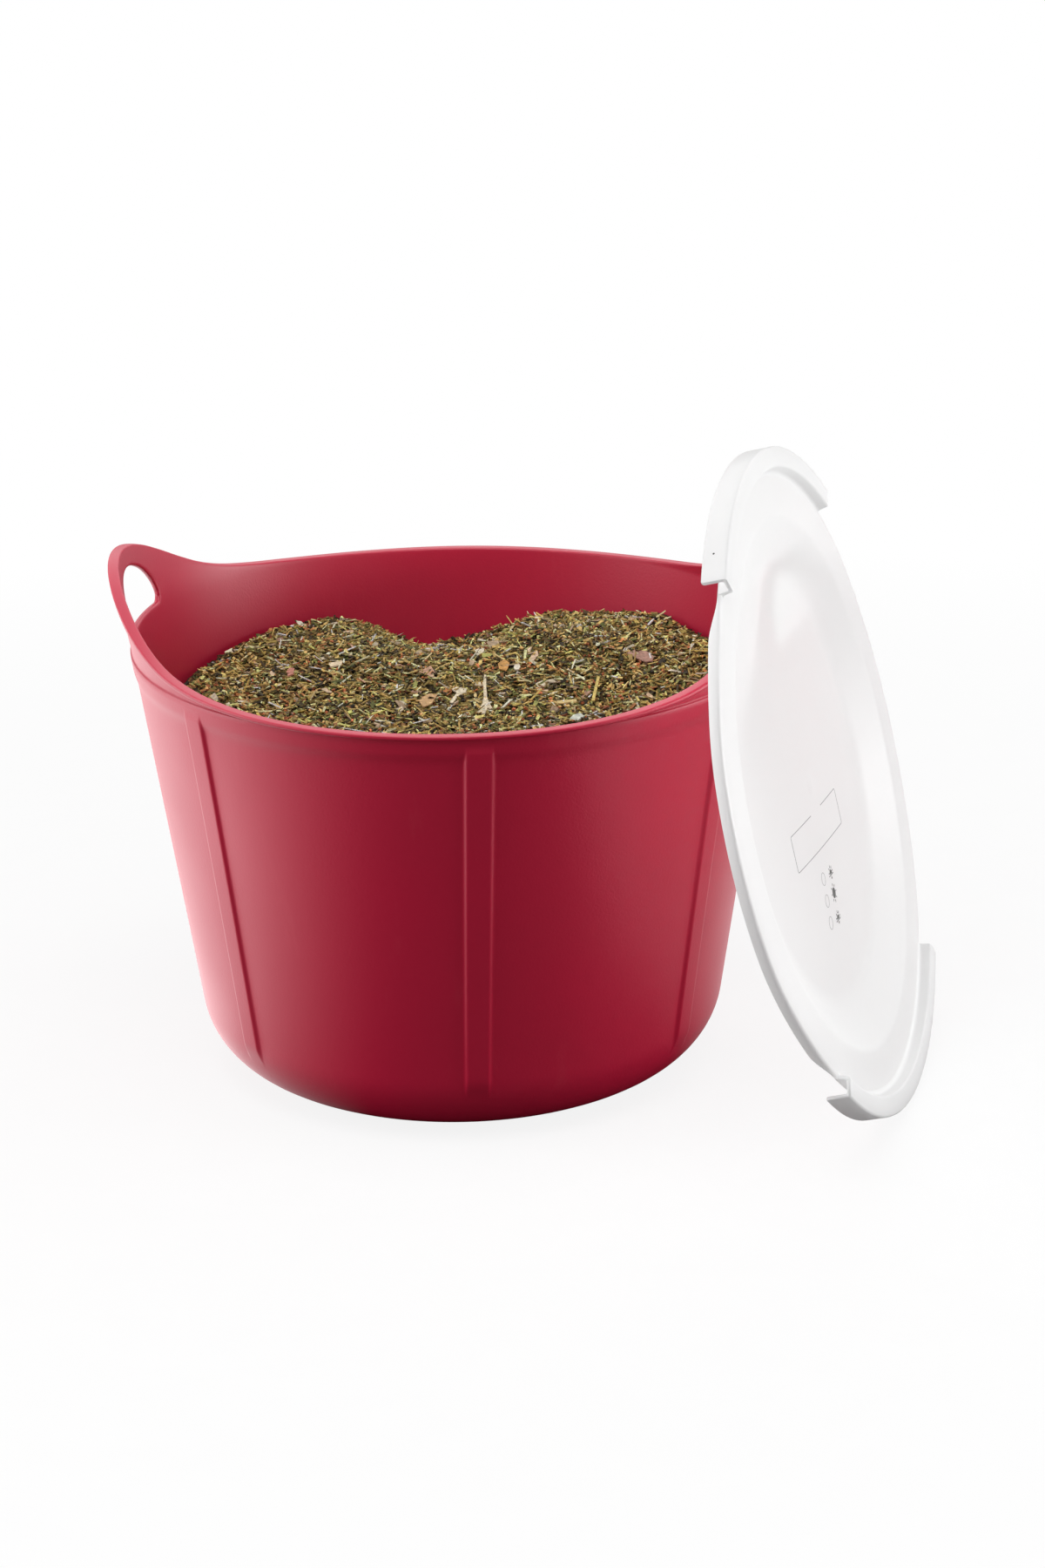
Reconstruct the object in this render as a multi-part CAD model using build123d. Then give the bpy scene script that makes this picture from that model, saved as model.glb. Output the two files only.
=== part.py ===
from build123d import *
import math
import os

# Flexible feed bowl with a loose lid and a feed mix inside.
# Units are millimetres, +Z is up. The origin is the middle of the bowl's
# base, on the floor. The photographed front looks along -Y. The bowl has two
# handles, one near -X and one near +X, and the lid leans on the +X one.

# Driving sizes of the bowl
RIM_HEIGHT = 202.4          # top of the rim, front and back
RIM_RADIUS = 150.0          # outside of the rim
RIM_LEDGE = 2.1             # the rim edge stands out from the wall by this much
WALL_SLOPE = 0.1452         # growth of the wall radius per mm of height
WALL = 3.0                  # wall thickness
FLOOR_THICKNESS = 4.0
CORNER_RADIUS = 36.0        # outside corner between base and wall
HANDLE_TURN = -3.5          # the handle line is turned from X by this angle
HANDLE_RISE = 39.1          # top of the handle above the rim
RIM_THICKNESS = 2.2         # at front and back
HANDLE_RIM_THICKNESS = 5.0  # at the top of the handle

# rim line: distance from the handle line, rise above the rim height
RIM_LINE = [(0.0, 39.1), (16.0, 37.6), (31.6, 33.4), (47.0, 27.0), (62.5, 19.3),
            (76.0, 12.8), (89.0, 8.0), (102.0, 5.0), (116.0, 2.9), (138.0, 0.8), (170.0, 0.0)]

# wall above the rim: height above the rim, radial offset from the cone there
FLARE = [(20.0, 0.9), (46.0, 2.1)]
PRESS_KNEE = 20.0           # the pressed handle is straight above this height
PRESS_EASE = 0.4            # the disc curves away from the handle by this much

# finger hole, mirrored on both sides of the handle's middle
HOLE_HALF_WIDTH = 37.0
HOLE_BOTTOM = 5.0           # above the rim height
HOLE_TOP = 30.2
HOLE_SHOULDER = 9.1         # height of the hole's sides, below the arch
HOLE_SHOULDER_ROUND = 11.5
HOLE_CORNER = 4.0

COLLAR_HEIGHT = 8.5
COLLAR_DROP = 0.6           # rim height to the top of the collar
COLLAR_PROUD = 1.3
COLLAR_BEVEL = 0.9          # sloped upper edge of the collar
COLLAR_FADE = 2.5           # sloped lower edge of the collar
SINK = 1.0                  # raised forms reach into the wall by this much

BAND_ANGLES = [220.0, 274.8, 325.0, 16.0, 67.0, 118.0, 169.0]
BAND_WIDTH_TOP = 11.6
BAND_WIDTH_BOTTOM = 9.8
BAND_PROUD = 1.2
BAND_FLANK = 2.0            # spread of the sloped sides
BAND_TOP = 197.0
BAND_BOTTOM = 23.0
BAND_FADE = 8.0             # the band sinks into the collar over this length
BAND_RUN_IN = 4.0           # full height this far above the rounded corner
BAND_TIP = 0.45             # the sunk ends lie this far under the surface
BAND_TIP_WIDTH = 6.4

# Driving sizes of the lid, in its own frame: land at z = 0
LID_THICKNESS = 1.6
SKIRT_GAP = 0.4             # rim to the inside of the skirt
SKIRT_DEPTH = 11.4
LID_RADIUS = RIM_RADIUS + SKIRT_GAP + LID_THICKNESS
LAND_INNER = 142.7
STEP_DEPTH = 5.4
STEP_DRAFT = 1.6            # the step wall leans inward by this much
RECESS_EDGE = 121.5         # top edge of the dish
RECESS_FOOT = 99.0
RECESS_DEPTH = 15.9         # disc rim below the land
DOME_RISE = 2.4             # middle of the disc above its rim
TONGUE_BOTTOM = 10.6        # lower edge of the wall between the skirts
ARC_HALF_ANGLE = 40.5       # each skirted arc
TONGUE_HALF_ANGLE = 46.5
TONGUE_DRAFT = 0.3
EDGE_ROUND = 8.0            # top edge of the dish, upper face
FOOT_ROUND = 22.0           # foot of the dish, upper face
STEP_BEVEL = 1.2            # foot of the step
BEVEL = 0.8                 # outer edges of the skirts and tongues
DOME_SHARE = 0.55           # the dome bends at this share of its radius
DOME_BEND = 1.7             # rise of the dome there
GATE_RADIUS = 3.0
GATE_HEIGHT = 0.5

# leaning place of the lid
LEAN_GAP = 0.45             # rim to the lid's disc
LEAN_FLOOR_GAP = 0.1        # lid to the floor
LID_SHIFT = -10.8           # lid centre beside the bowl's middle
LID_AZIMUTH = 16.45         # the face is turned towards -Y by this angle
LID_TILT = 14.87            # the face looks up by this angle
LID_SPIN = 3.5              # the lid is turned about its own middle

# Feed
FEED_GAP = 0.3
FEED_DROP = 35.4            # rim height to the level of the feed
# feed along the wall: angle, rise above the level
FEED_WALL_LINE = [(-30, -1.0), (0, 5.0), (20, 9.0), (38, 12.0), (45, 15.0), (58, 10.0),
                  (70, 7.0), (79, 0.0), (88, -7.0), (97, -12.0), (104, -5.0), (110, 2.0),
                  (117, 8.0), (133, 8.0), (152, 2.0), (175, -4.0), (190, -7.0), (215, -9.0),
                  (270, -9.0), (310, -5.0), (330, -1.0)]
# heaps and hollows of the feed: x, y, rise, reach
FEED_HEAPS = [(-62.0, 66.0, 13.0, 36.0), (66.0, 62.0, 18.0, 44.0),
              (-5.0, 108.0, -9.0, 26.0), (10.0, -40.0, 3.0, 50.0)]
FEED_GRID_COUNT = 13        # points each way that the feed's top is laid through

# reach of the cutting solids, outside of everything
REACH = RIM_RADIUS * 1.35


def wall_radius(z):
    """Outside radius of the wall at the height z."""
    return RIM_RADIUS - RIM_LEDGE - WALL_SLOPE * (RIM_HEIGHT - z)


def radial_wall():
    """Wall thickness measured along the radius."""
    return WALL * math.sqrt(1.0 + WALL_SLOPE ** 2)


def softened(points, radii):
    """Straight runs through points, with a round at each inner corner.

    A round is a Bezier that leaves and meets the runs as the arc of its
    radius would, and stays within a thousandth of that arc.
    """
    edges = []
    last = Vector(*points[0])
    for before, here, after, radius in zip(points, points[1:], points[2:], radii):
        corner = Vector(*here)
        back = (Vector(*before) - corner).normalized()
        ahead = (Vector(*after) - corner).normalized()
        half = math.acos(back.dot(ahead)) / 2
        start = corner + back * (radius / math.tan(half))
        end = corner + ahead * (radius / math.tan(half))
        handle = 4 / 3 * math.tan((math.pi / 2 - half) / 2) * radius
        edges += [Line(last, start), Bezier(start, start - back * handle, end - ahead * handle, end)]
        last = end
    return edges + [Line(last, Vector(*points[-1]))]


def revolved(points, arc=360.0, start=0.0):
    """Revolve a closed polygon of (radius, z) points about Z."""
    wire = Polyline(*points, close=True)
    face = make_face(Plane.XZ * wire)
    return Rot(0, 0, start) * revolve(face, Axis.Z, arc)


def pressed_lean():
    """Lean line of the handle that the lid rests on, parallel to the lid."""
    slope = math.tan(math.radians(LID_TILT)) + WALL_SLOPE
    top = HANDLE_RISE + HANDLE_RIM_THICKNESS
    return [(up, PRESS_EASE - up * slope) for up in (PRESS_KNEE, top)]


def leaning_edge(lean, extra):
    """Edge of the wall above the rim height, with its first and last point."""
    points = [(wall_radius(RIM_HEIGHT) + extra, RIM_HEIGHT)]
    for up, offset in lean:
        z = RIM_HEIGHT + up
        points.append((wall_radius(z) + offset + extra, z))
    end_run = (points[-1][0] - points[-2][0], points[-1][1] - points[-2][1])
    bent = Spline(*points, tangents=[(WALL_SLOPE, 1.0), end_run])
    return bent, points[0], points[-1]


def bowl_half(lean):
    """Base, rounded corner and wall of one half, on the +X side."""
    outer, outer_knee, outer_end = leaning_edge(lean, 0.0)
    inner, inner_knee, inner_end = leaning_edge(lean, -radial_wall())
    outer_foot = (wall_radius(0), 0)
    inner_foot = (wall_radius(FLOOR_THICKNESS) - radial_wall(), FLOOR_THICKNESS)
    edges = softened([(0, 0), outer_foot, outer_knee], [CORNER_RADIUS])
    edges += [outer, Line(outer_end, inner_end), inner]
    edges += softened([inner_knee, inner_foot, (0, FLOOR_THICKNESS)], [CORNER_RADIUS - WALL])
    edges.append(Line((0, FLOOR_THICKNESS), (0, 0)))
    return Rot(0, 0, -90) * revolve(Plane.XZ * make_face(edges), Axis.Z, 180.0)


def rim_ledge(lean):
    """Outer half ring that the rim edge is cut from, on the +X side."""
    foot = RIM_HEIGHT - 2 * HANDLE_RIM_THICKNESS
    edges = []
    corners = []
    for extra in (-radial_wall() / 2, RIM_LEDGE):
        bent, knee, end = leaning_edge(lean, extra)
        low = (wall_radius(foot) + extra, foot)
        edges += [Line(low, knee), bent]
        corners.append((low, end))
    (inner_low, inner_end), (outer_low, outer_end) = corners
    edges += [Line(outer_end, inner_end), Line(inner_low, outer_low)]
    return Rot(0, 0, -90) * revolve(Plane.XZ * make_face(edges), Axis.Z, 180.0)


def below_rim(front_drop, handle_drop):
    """Everything below the rim line, which is lowered by the two drops."""
    right = []
    for across, rise in RIM_LINE:
        drop = front_drop + (handle_drop - front_drop) * rise / HANDLE_RISE
        right.append((across, RIM_HEIGHT + rise - drop))
    left = [(-across, z) for across, z in reversed(right[1:])]
    line = left + right
    end_height = line[0][1]
    edges = [
        Line((-REACH, end_height), line[0]),
        Spline(*line, tangents=[(1, 0), (1, 0)]),
        Line(line[-1], (REACH, end_height)),
        Line((REACH, end_height), (REACH, -WALL)),
        Line((REACH, -WALL), (-REACH, -WALL)),
        Line((-REACH, -WALL), (-REACH, end_height)),
    ]
    return extrude(Plane.YZ * make_face(edges), REACH, both=True)


def finger_hole():
    """Cutter for one arched finger hole, on the +X side."""
    low = RIM_HEIGHT + HOLE_BOTTOM
    shoulder = low + HOLE_SHOULDER
    half = HOLE_HALF_WIDTH
    outline = [
        Polyline((-half, shoulder), (-half, low), (half, low), (half, shoulder)),
        ThreePointArc((half, shoulder), (0, RIM_HEIGHT + HOLE_TOP), (-half, shoulder)),
    ]
    face = make_face(outline)
    corners = face.vertices().sort_by(Axis.Y)
    face = fillet(corners[:2], HOLE_CORNER)
    shoulders = face.vertices().filter_by(lambda v: abs(v.Y - shoulder) < HOLE_CORNER / 10)
    face = fillet(shoulders, HOLE_SHOULDER_ROUND)
    return extrude(Plane.YZ * face, REACH)


def collar():
    """Shallow thicker ring of the wall just under the rim."""
    top = RIM_HEIGHT - COLLAR_DROP
    low = top - COLLAR_HEIGHT
    fade = low - COLLAR_FADE
    points = [
        (wall_radius(top) - SINK, top),
        (wall_radius(top) + COLLAR_PROUD - COLLAR_BEVEL, top),
        (wall_radius(top) + COLLAR_PROUD, top - COLLAR_BEVEL),
        (wall_radius(low) + COLLAR_PROUD, low),
        (wall_radius(fade) - SINK / 10, fade),
        (wall_radius(fade) - SINK, fade),
    ]
    return revolved(points)


def band_section(z, width, proud, radius):
    """Trapezoid across the band at one height."""
    inner = radius - SINK
    outer = radius + proud
    half = width / 2
    foot = half + BAND_FLANK
    outline = Polyline((inner, -foot), (outer, -half), (outer, half), (inner, foot), close=True)
    return Pos(0, 0, z) * make_face(outline)


def band():
    """Raised flat band down the wall, on the +X side."""
    foot = CORNER_RADIUS * (1 - math.sin(math.atan(WALL_SLOPE))) + BAND_RUN_IN
    head = BAND_TOP - BAND_FADE
    sections = [
        band_section(BAND_BOTTOM, BAND_WIDTH_BOTTOM, -BAND_TIP, wall_radius(BAND_BOTTOM) - SINK),
        band_section(foot, BAND_WIDTH_BOTTOM, BAND_PROUD, wall_radius(foot)),
        band_section(head, BAND_WIDTH_TOP, BAND_PROUD, wall_radius(head)),
        band_section(BAND_TOP, BAND_TIP_WIDTH, -BAND_TIP, wall_radius(BAND_TOP)),
    ]
    return loft(sections, ruled=True)


def make_bowl():
    """One-piece moulded bowl with rim, handles, collar and bands."""
    pressed = pressed_lean()
    body = bowl_half(pressed) + Rot(0, 0, 180) * bowl_half(FLARE)
    ledge = rim_ledge(pressed) + Rot(0, 0, 180) * rim_ledge(FLARE)
    body = body & below_rim(0.0, 0.0)
    edge = ledge & below_rim(0.0, 0.0)
    edge = edge - below_rim(RIM_THICKNESS, HANDLE_RIM_THICKNESS)
    body = body + edge + collar()
    body = body - finger_hole() - Rot(0, 0, 180) * finger_hole()
    strip = band()
    for angle in BAND_ANGLES:
        body = body + Rot(0, 0, angle - HANDLE_TURN) * strip
    body = Rot(0, 0, HANDLE_TURN) * body
    body.label = "bowl"
    return body


def lid_dish():
    """Step, annulus, dish and domed disc of the lid, as one thin shell."""
    t = LID_THICKNESS
    step_foot = LAND_INNER - STEP_DRAFT
    lean = STEP_BEVEL * STEP_DRAFT / STEP_DEPTH
    centre = -RECESS_DEPTH + DOME_RISE
    bend = (RECESS_FOOT * DOME_SHARE, -RECESS_DEPTH + DOME_BEND)
    slope = math.atan((RECESS_DEPTH - STEP_DEPTH) / (RECESS_EDGE - RECESS_FOOT))
    shift = t * math.tan(slope / 2)
    outline = [
        (LAND_INNER, 0.0),
        (step_foot + lean, -STEP_DEPTH + STEP_BEVEL),
        (step_foot - STEP_BEVEL, -STEP_DEPTH),
        (RECESS_EDGE, -STEP_DEPTH),
        (RECESS_FOOT, -RECESS_DEPTH),
        bend,
        (0.0, centre),
        (0.0, centre - t),
        (bend[0], bend[1] - t),
        (RECESS_FOOT + shift, -RECESS_DEPTH - t),
        (RECESS_EDGE + shift, -STEP_DEPTH - t),
        (step_foot + t - STEP_BEVEL, -STEP_DEPTH - t),
        (step_foot + t + lean, -STEP_DEPTH - t + STEP_BEVEL),
        (LAND_INNER + t, -t),
        (LAND_INNER + t, 0.0),
    ]
    section = make_face(Polyline(*outline, close=True))
    rounds = [
        (outline[3], EDGE_ROUND),
        (outline[4], FOOT_ROUND),
        (outline[9], FOOT_ROUND + t),
        (outline[10], EDGE_ROUND - t),
    ]
    for place, radius in rounds:
        corner = section.vertices().sort_by_distance((place[0], place[1], 0))[0]
        section = fillet(corner, radius)
    return revolve(Plane.XZ * section, Axis.Z)


def arc_piece(points, half_angle, middle):
    """Part ring of a polygon section, centred on one direction."""
    return revolved(points, 2 * half_angle, middle - half_angle)


def make_lid_flat():
    """Lid in its own frame: land at z = 0, skirted arcs towards +-Y."""
    t = LID_THICKNESS
    body = lid_dish()
    trim_start = (RECESS_EDGE + LAND_INNER) / 2
    trim_end = LID_RADIUS + t
    trim = [(trim_start, t), (trim_start, -STEP_DEPTH), (trim_end, -STEP_DEPTH), (trim_end, t)]
    open_half = 90.0 - ARC_HALF_ANGLE
    for middle in (0.0, 180.0):
        body = body - arc_piece(trim, open_half, middle)
    skirt = [
        (LAND_INNER, 0.0),
        (LID_RADIUS - BEVEL, 0.0),
        (LID_RADIUS, -BEVEL),
        (LID_RADIUS, -SKIRT_DEPTH),
        (LID_RADIUS - t, -SKIRT_DEPTH),
        (LID_RADIUS - t, -t),
        (LAND_INNER + t / 4, -t),
    ]
    for middle in (90.0, 270.0):
        body = body + arc_piece(skirt, ARC_HALF_ANGLE, middle)
    rim = LAND_INNER - STEP_DRAFT + t
    tongue = [
        (rim - t - BEVEL, -STEP_DEPTH),
        (rim - BEVEL, -STEP_DEPTH),
        (rim, -STEP_DEPTH - BEVEL),
        (rim - TONGUE_DRAFT, -TONGUE_BOTTOM),
        (rim - t - TONGUE_DRAFT, -TONGUE_BOTTOM),
        (rim - t - BEVEL, -STEP_DEPTH - t),
    ]
    for middle in (0.0, 180.0):
        body = body + arc_piece(tongue, TONGUE_HALF_ANGLE, middle)
    gate_top = -RECESS_DEPTH + DOME_RISE + GATE_HEIGHT
    gate = Pos(0, 0, gate_top - t / 2) * Cylinder(GATE_RADIUS, t)
    return body + gate


def lean_place():
    """Frame of the leaning lid, whose face normal is the local Z.

    The lower skirt stands on the floor and the disc leans on the rim.
    """
    azimuth = math.radians(LID_AZIMUTH)
    tilt = math.radians(LID_TILT)
    spin = math.radians(LID_SPIN)
    outward = Vector(math.cos(azimuth), -math.sin(azimuth), 0)
    side = Vector(math.sin(azimuth), math.cos(azimuth), 0)
    normal = outward * math.cos(tilt) + Vector(0, 0, math.sin(tilt))
    up = Vector(0, 0, math.cos(tilt)) - outward * math.sin(tilt)
    height = LID_RADIUS * math.cos(tilt) + SKIRT_DEPTH * math.sin(tilt) + LEAN_FLOOR_GAP
    depth = RECESS_DEPTH + LID_THICKNESS + LEAN_GAP
    rim_reach = RIM_RADIUS * math.cos(tilt) + RIM_HEIGHT * math.sin(tilt)
    distance = (rim_reach + depth - height * math.sin(tilt)) / math.cos(tilt)
    centre = outward * distance + side * LID_SHIFT + Vector(0, 0, height)
    x_axis = side * math.cos(spin) - up * math.sin(spin)
    return Plane(origin=centre, x_dir=x_axis, z_dir=normal)


def make_lid():
    """Lid at its leaning place beside the bowl."""
    lid = lean_place().location * make_lid_flat()
    lid.label = "lid"
    return lid


def feed_rise(x, y, edge):
    """Rise of the feed's top: heaps inside, blended into the wall line."""
    first = FEED_WALL_LINE[0]
    angle = (math.degrees(math.atan2(y, x)) - first[0]) % 360.0 + first[0]
    ring = FEED_WALL_LINE + [(first[0] + 360.0, first[1])]
    for (low, low_rise), (high, high_rise) in zip(ring, ring[1:]):
        if low <= angle <= high:
            wall_rise = low_rise + (high_rise - low_rise) * (angle - low) / (high - low)
    inner_rise = 0.0
    for heap_x, heap_y, rise, reach in FEED_HEAPS:
        inner_rise += rise * math.exp(-((x - heap_x) ** 2 + (y - heap_y) ** 2) / (2 * reach ** 2))
    share = min(max(2.0 * math.hypot(x, y) / edge - 1.0, 0.0), 1.0)
    share = share * share * (3.0 - 2.0 * share)
    return inner_rise * (1.0 - share) + wall_rise * share


def make_feed():
    """Feed mix: fills the bowl and ends in an uneven top with two heaps."""
    gap = radial_wall() + FEED_GAP
    floor = FLOOR_THICKNESS + FEED_GAP
    level = RIM_HEIGHT - FEED_DROP
    foot = (wall_radius(floor) - gap, floor)
    head = (wall_radius(RIM_HEIGHT) - gap, RIM_HEIGHT)
    edges = softened([(0, floor), foot, head], [CORNER_RADIUS - WALL - FEED_GAP])
    edges.append(Polyline(head, (0, RIM_HEIGHT), (0, floor)))
    space = revolve(Plane.XZ * make_face(edges), Axis.Z)
    edge = wall_radius(level) - gap
    step = 2.0 * head[0] / (FEED_GRID_COUNT - 2)
    places = [(i - (FEED_GRID_COUNT - 1) / 2) * step for i in range(FEED_GRID_COUNT)]
    grid = [[(x, y, level + feed_rise(x, y, edge)) for y in places] for x in places]
    top = Face.make_surface_from_array_of_points(grid, tol=FEED_GAP)
    body = space & extrude(top, RIM_HEIGHT, dir=(0, 0, -1))
    body.label = "feed_mix"
    return body


def main():
    """Build every piece and write one STEP file for each."""
    os.makedirs("parts", exist_ok=True)
    for shape in (make_bowl(), make_lid(), make_feed()):
        export_step(shape, "parts/" + shape.label + ".step")


main()
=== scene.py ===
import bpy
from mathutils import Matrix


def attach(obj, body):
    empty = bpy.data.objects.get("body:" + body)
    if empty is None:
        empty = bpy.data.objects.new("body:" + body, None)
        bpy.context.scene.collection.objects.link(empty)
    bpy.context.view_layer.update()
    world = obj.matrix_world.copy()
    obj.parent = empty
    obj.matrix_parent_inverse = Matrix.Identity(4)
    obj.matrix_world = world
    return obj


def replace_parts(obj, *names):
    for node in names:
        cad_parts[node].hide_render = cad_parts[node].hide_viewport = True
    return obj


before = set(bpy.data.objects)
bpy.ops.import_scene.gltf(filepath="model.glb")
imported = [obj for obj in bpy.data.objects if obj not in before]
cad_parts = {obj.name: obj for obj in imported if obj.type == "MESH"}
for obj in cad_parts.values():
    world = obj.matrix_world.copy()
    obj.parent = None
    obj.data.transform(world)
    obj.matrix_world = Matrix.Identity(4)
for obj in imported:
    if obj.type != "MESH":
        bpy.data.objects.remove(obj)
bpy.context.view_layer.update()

import logging
import math
from collections.abc import Sequence
from dataclasses import dataclass, field
from enum import Enum

import bmesh
import bpy
import numpy as np
from mathutils import Matrix

LOG = logging.getLogger("feed_bowl")
MM = 0.001
QUARTER = math.pi / 2
FULL_TURN = 2 * math.pi
SQUARE = np.array([(-1, -1), (1, -1), (1, 1), (-1, 1)])

Array = np.ndarray
Pair = tuple[float, float]
Triple = tuple[float, float, float]
Span = tuple[float, float, float, float]
Colour = tuple[int, int, int]
Rows = list[tuple[Array, Array]]
Surface = tuple[Array, list]
Socket = bpy.types.NodeSocket


# Shape tools
def smooth(low: float, high: float, x: Array) -> Array:
    """Smooth step: 0 below low, 1 above high, 3t^2 - 2t^3 between."""
    t = np.clip((np.asarray(x, float) - low) / (high - low), 0.0, 1.0)
    return t * t * (3.0 - 2.0 * t)


def curve_through(x: Array, xs: Sequence[float], ys: Sequence[float]) -> Array:
    """Cubic Hermite curve through points, with centred slopes.

    The curve starts flat: its slope at the first point is zero.

    Args:
        x: Where to evaluate it, clipped to the range of xs.
        xs: Rising abscissas.
        ys: Values at xs.

    Returns:
        The curve's values at x.
    """
    px, py = np.asarray(xs, float), np.asarray(ys, float)
    slope = np.gradient(py, px)
    slope[0] = 0.0
    x = np.clip(x, px[0], px[-1])
    k = np.clip(np.searchsorted(px, x, side="right") - 1, 0, len(px) - 2)
    span = px[k + 1] - px[k]
    t = (x - px[k]) / span
    a, b = t * t * (3 - 2 * t), t * (1 - t)
    return py[k] * (1 - a) + py[k + 1] * a + span * b * (slope[k] * (1 - t) - slope[k + 1] * t)


def rounded(points: Sequence[Pair], radii: Sequence[float], steps: int) -> Array:
    """Polyline whose inner corners are replaced by circular arcs.

    Each arc is tangent to both runs: it starts radius / tan(half) from the
    corner, where half is half the angle between the runs, and its points
    are the centre plus the turned radius.

    Args:
        points: The corners of the line.
        radii: One radius for each inner corner.
        steps: Runs in each arc.

    Returns:
        The points of the rounded line, one row each.
    """
    p = np.asarray(points, float)
    t = np.linspace(0, 1, steps + 1)[:, None]
    runs = [p[:1]]
    for k, radius in enumerate(radii, start=1):
        back, ahead = p[k - 1] - p[k], p[k + 1] - p[k]
        back, ahead = back / np.linalg.norm(back), ahead / np.linalg.norm(ahead)
        half = math.acos(float(np.clip(back @ ahead, -1, 1))) / 2
        middle = back + ahead
        centre = p[k] + middle / np.linalg.norm(middle) * radius / math.sin(half)
        first = p[k] + back * radius / math.tan(half) - centre
        last = p[k] + ahead * radius / math.tan(half) - centre
        sweep = math.pi - 2 * half
        mix = np.sin((1 - t) * sweep) * first + np.sin(t * sweep) * last
        runs.append(centre + mix / math.sin(sweep))
    return np.vstack([*runs, p[-1:]])


def circle(count: int) -> Array:
    """Angles of a full turn in even steps, in radians, the end left out."""
    return np.linspace(0, FULL_TURN, count + 1)[:-1]


def heading(angle: Array) -> Array:
    """Directions (cos a, sin a), one row each."""
    return np.column_stack([np.cos(angle), np.sin(angle)])


def lattice_noise(x: Array, y: Array, cell: float, seed: int) -> Array:
    """Smooth noise from -1 to 1.

    Random values on a square lattice, blended with a smooth step in both
    directions. The lattice repeats after 64 cells.

    Args:
        x: Places across.
        y: Places along.
        cell: Size of a lattice cell.
        seed: Which random values.

    Returns:
        The noise at every place.
    """
    size = 64
    values = np.random.default_rng(seed).uniform(-1, 1, (size, size))
    u, v = np.asarray(x) / cell, np.asarray(y) / cell
    i, j = np.floor(u).astype(int), np.floor(v).astype(int)
    a, b = smooth(0, 1, u - i), smooth(0, 1, v - j)
    left, right, near, far = i % size, (i + 1) % size, j % size, (j + 1) % size
    low = values[left, near] * (1 - a) + values[right, near] * a
    high = values[left, far] * (1 - a) + values[right, far] * a
    return low * (1 - b) + high * b


def turned(radii: Array, angle: Array, heights: Array) -> Array:
    """Points (r cos a, r sin a, h), one row each."""
    return np.stack([radii * np.cos(angle), radii * np.sin(angle), heights], -1).reshape(-1, 3)


def row_arrays(rows: Rows, phi: Array) -> tuple[Array, Array]:
    """Radii and heights of all rows, each spread over the columns phi."""
    return np.array([r + 0 * phi for r, _ in rows]), np.array([z + 0 * phi for _, z in rows])


def ring_quads(rows: int, cols: int) -> Array:
    """Quads of a grid that is closed round its columns.

    Args:
        rows: Number of rings.
        cols: Vertices in each ring.

    Returns:
        Four vertex numbers for each run of rows and each column.
    """
    j = np.arange(cols)
    i = np.arange(rows - 1)[:, None] * cols
    k = (j + 1) % cols
    return np.stack([i + j, i + k, i + cols + k, i + cols + j], -1)


def closed_at_poles(points: Array, rows: int, cols: int, first: float, last: float) -> Surface:
    """Closes a turned grid with a fan of triangles at each end.

    Args:
        points: All vertices, the grid's own ones first.
        rows: Number of rings in the grid.
        cols: Vertices in each ring.
        first: Height of the pole at the first ring.
        last: Height of the pole at the last ring.

    Returns:
        The points with both poles, and the fans.
    """
    j = np.arange(cols)
    k = (j + 1) % cols
    pole, end = len(points), (rows - 1) * cols
    fans = [(np.full(cols, pole), k, j), (np.full(cols, pole + 1), end + j, end + k)]
    faces = np.vstack([np.stack(fan, -1) for fan in fans]).tolist()
    return np.vstack([points, [[0, 0, first], [0, 0, last]]]), faces


def turned_shell(rows: Rows, phi: Array, first: float, last: float) -> Surface:
    """Closed shell of rows turned about the vertical axis.

    Args:
        rows: Radius and height of each row, as numbers or by column.
        phi: Angle of each column, in radians.
        first: Height of the pole at the first row.
        last: Height of the pole at the last row.

    Returns:
        Points and faces.
    """
    radii, heights = row_arrays(rows, phi)
    points, fans = closed_at_poles(turned(radii, phi, heights), *radii.shape, first, last)
    return points, ring_quads(*radii.shape).reshape(-1, 4).tolist() + fans


def plate(top: Array, low: Array) -> Surface:
    """Closed plate between two matching outlines.

    Args:
        top: Points of the upper outline.
        low: Points of the lower outline.

    Returns:
        Points and faces.
    """
    count = len(top)
    j = np.arange(count)
    k = (j + 1) % count
    faces = [j.tolist(), (count + j[::-1]).tolist()]
    faces += np.stack([count + j, count + k, k, j], -1).tolist()
    return np.vstack([top, low]), faces


def slab(outline: Array, base: Array, high: float, low: float) -> Surface:
    """Closed plate over an outline (x, y), from base + low to base + high."""
    return plate(np.column_stack([outline, base + high]), np.column_stack([outline, base + low]))


def joined(parts: Sequence[Surface]) -> Surface:
    """Several surfaces as one.

    Args:
        parts: Points and faces of each part.

    Returns:
        All points and all faces, with shifted vertex numbers.
    """
    points, faces, start = [], [], 0
    for part, its_faces in parts:
        points.append(part)
        faces += [[start + v for v in face] for face in its_faces]
        start += len(part)
    return np.vstack(points), faces


def add_object(name: str, data: bpy.types.ID) -> bpy.types.Object:
    """Adds an object to the scene.

    Args:
        name: The object's name.
        data: Its mesh, lamp or camera.

    Returns:
        The new object, at the origin.
    """
    thing = bpy.data.objects.new(name, data)
    bpy.context.scene.collection.objects.link(thing)
    return thing


def stand(thing: bpy.types.Object, right: Array, up: Array, back: Array, place: Triple) -> None:
    """Gives a lamp or a camera its three axes and its place.

    Args:
        thing: The object; it looks along minus back.
        right: Its own X axis.
        up: Its own Y axis.
        back: Its own Z axis.
        place: Where it stands, in metres.
    """
    turn = np.eye(4)
    turn[:3] = np.column_stack([right, up, back, place])
    thing.matrix_world = Matrix(turn.tolist())


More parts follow.
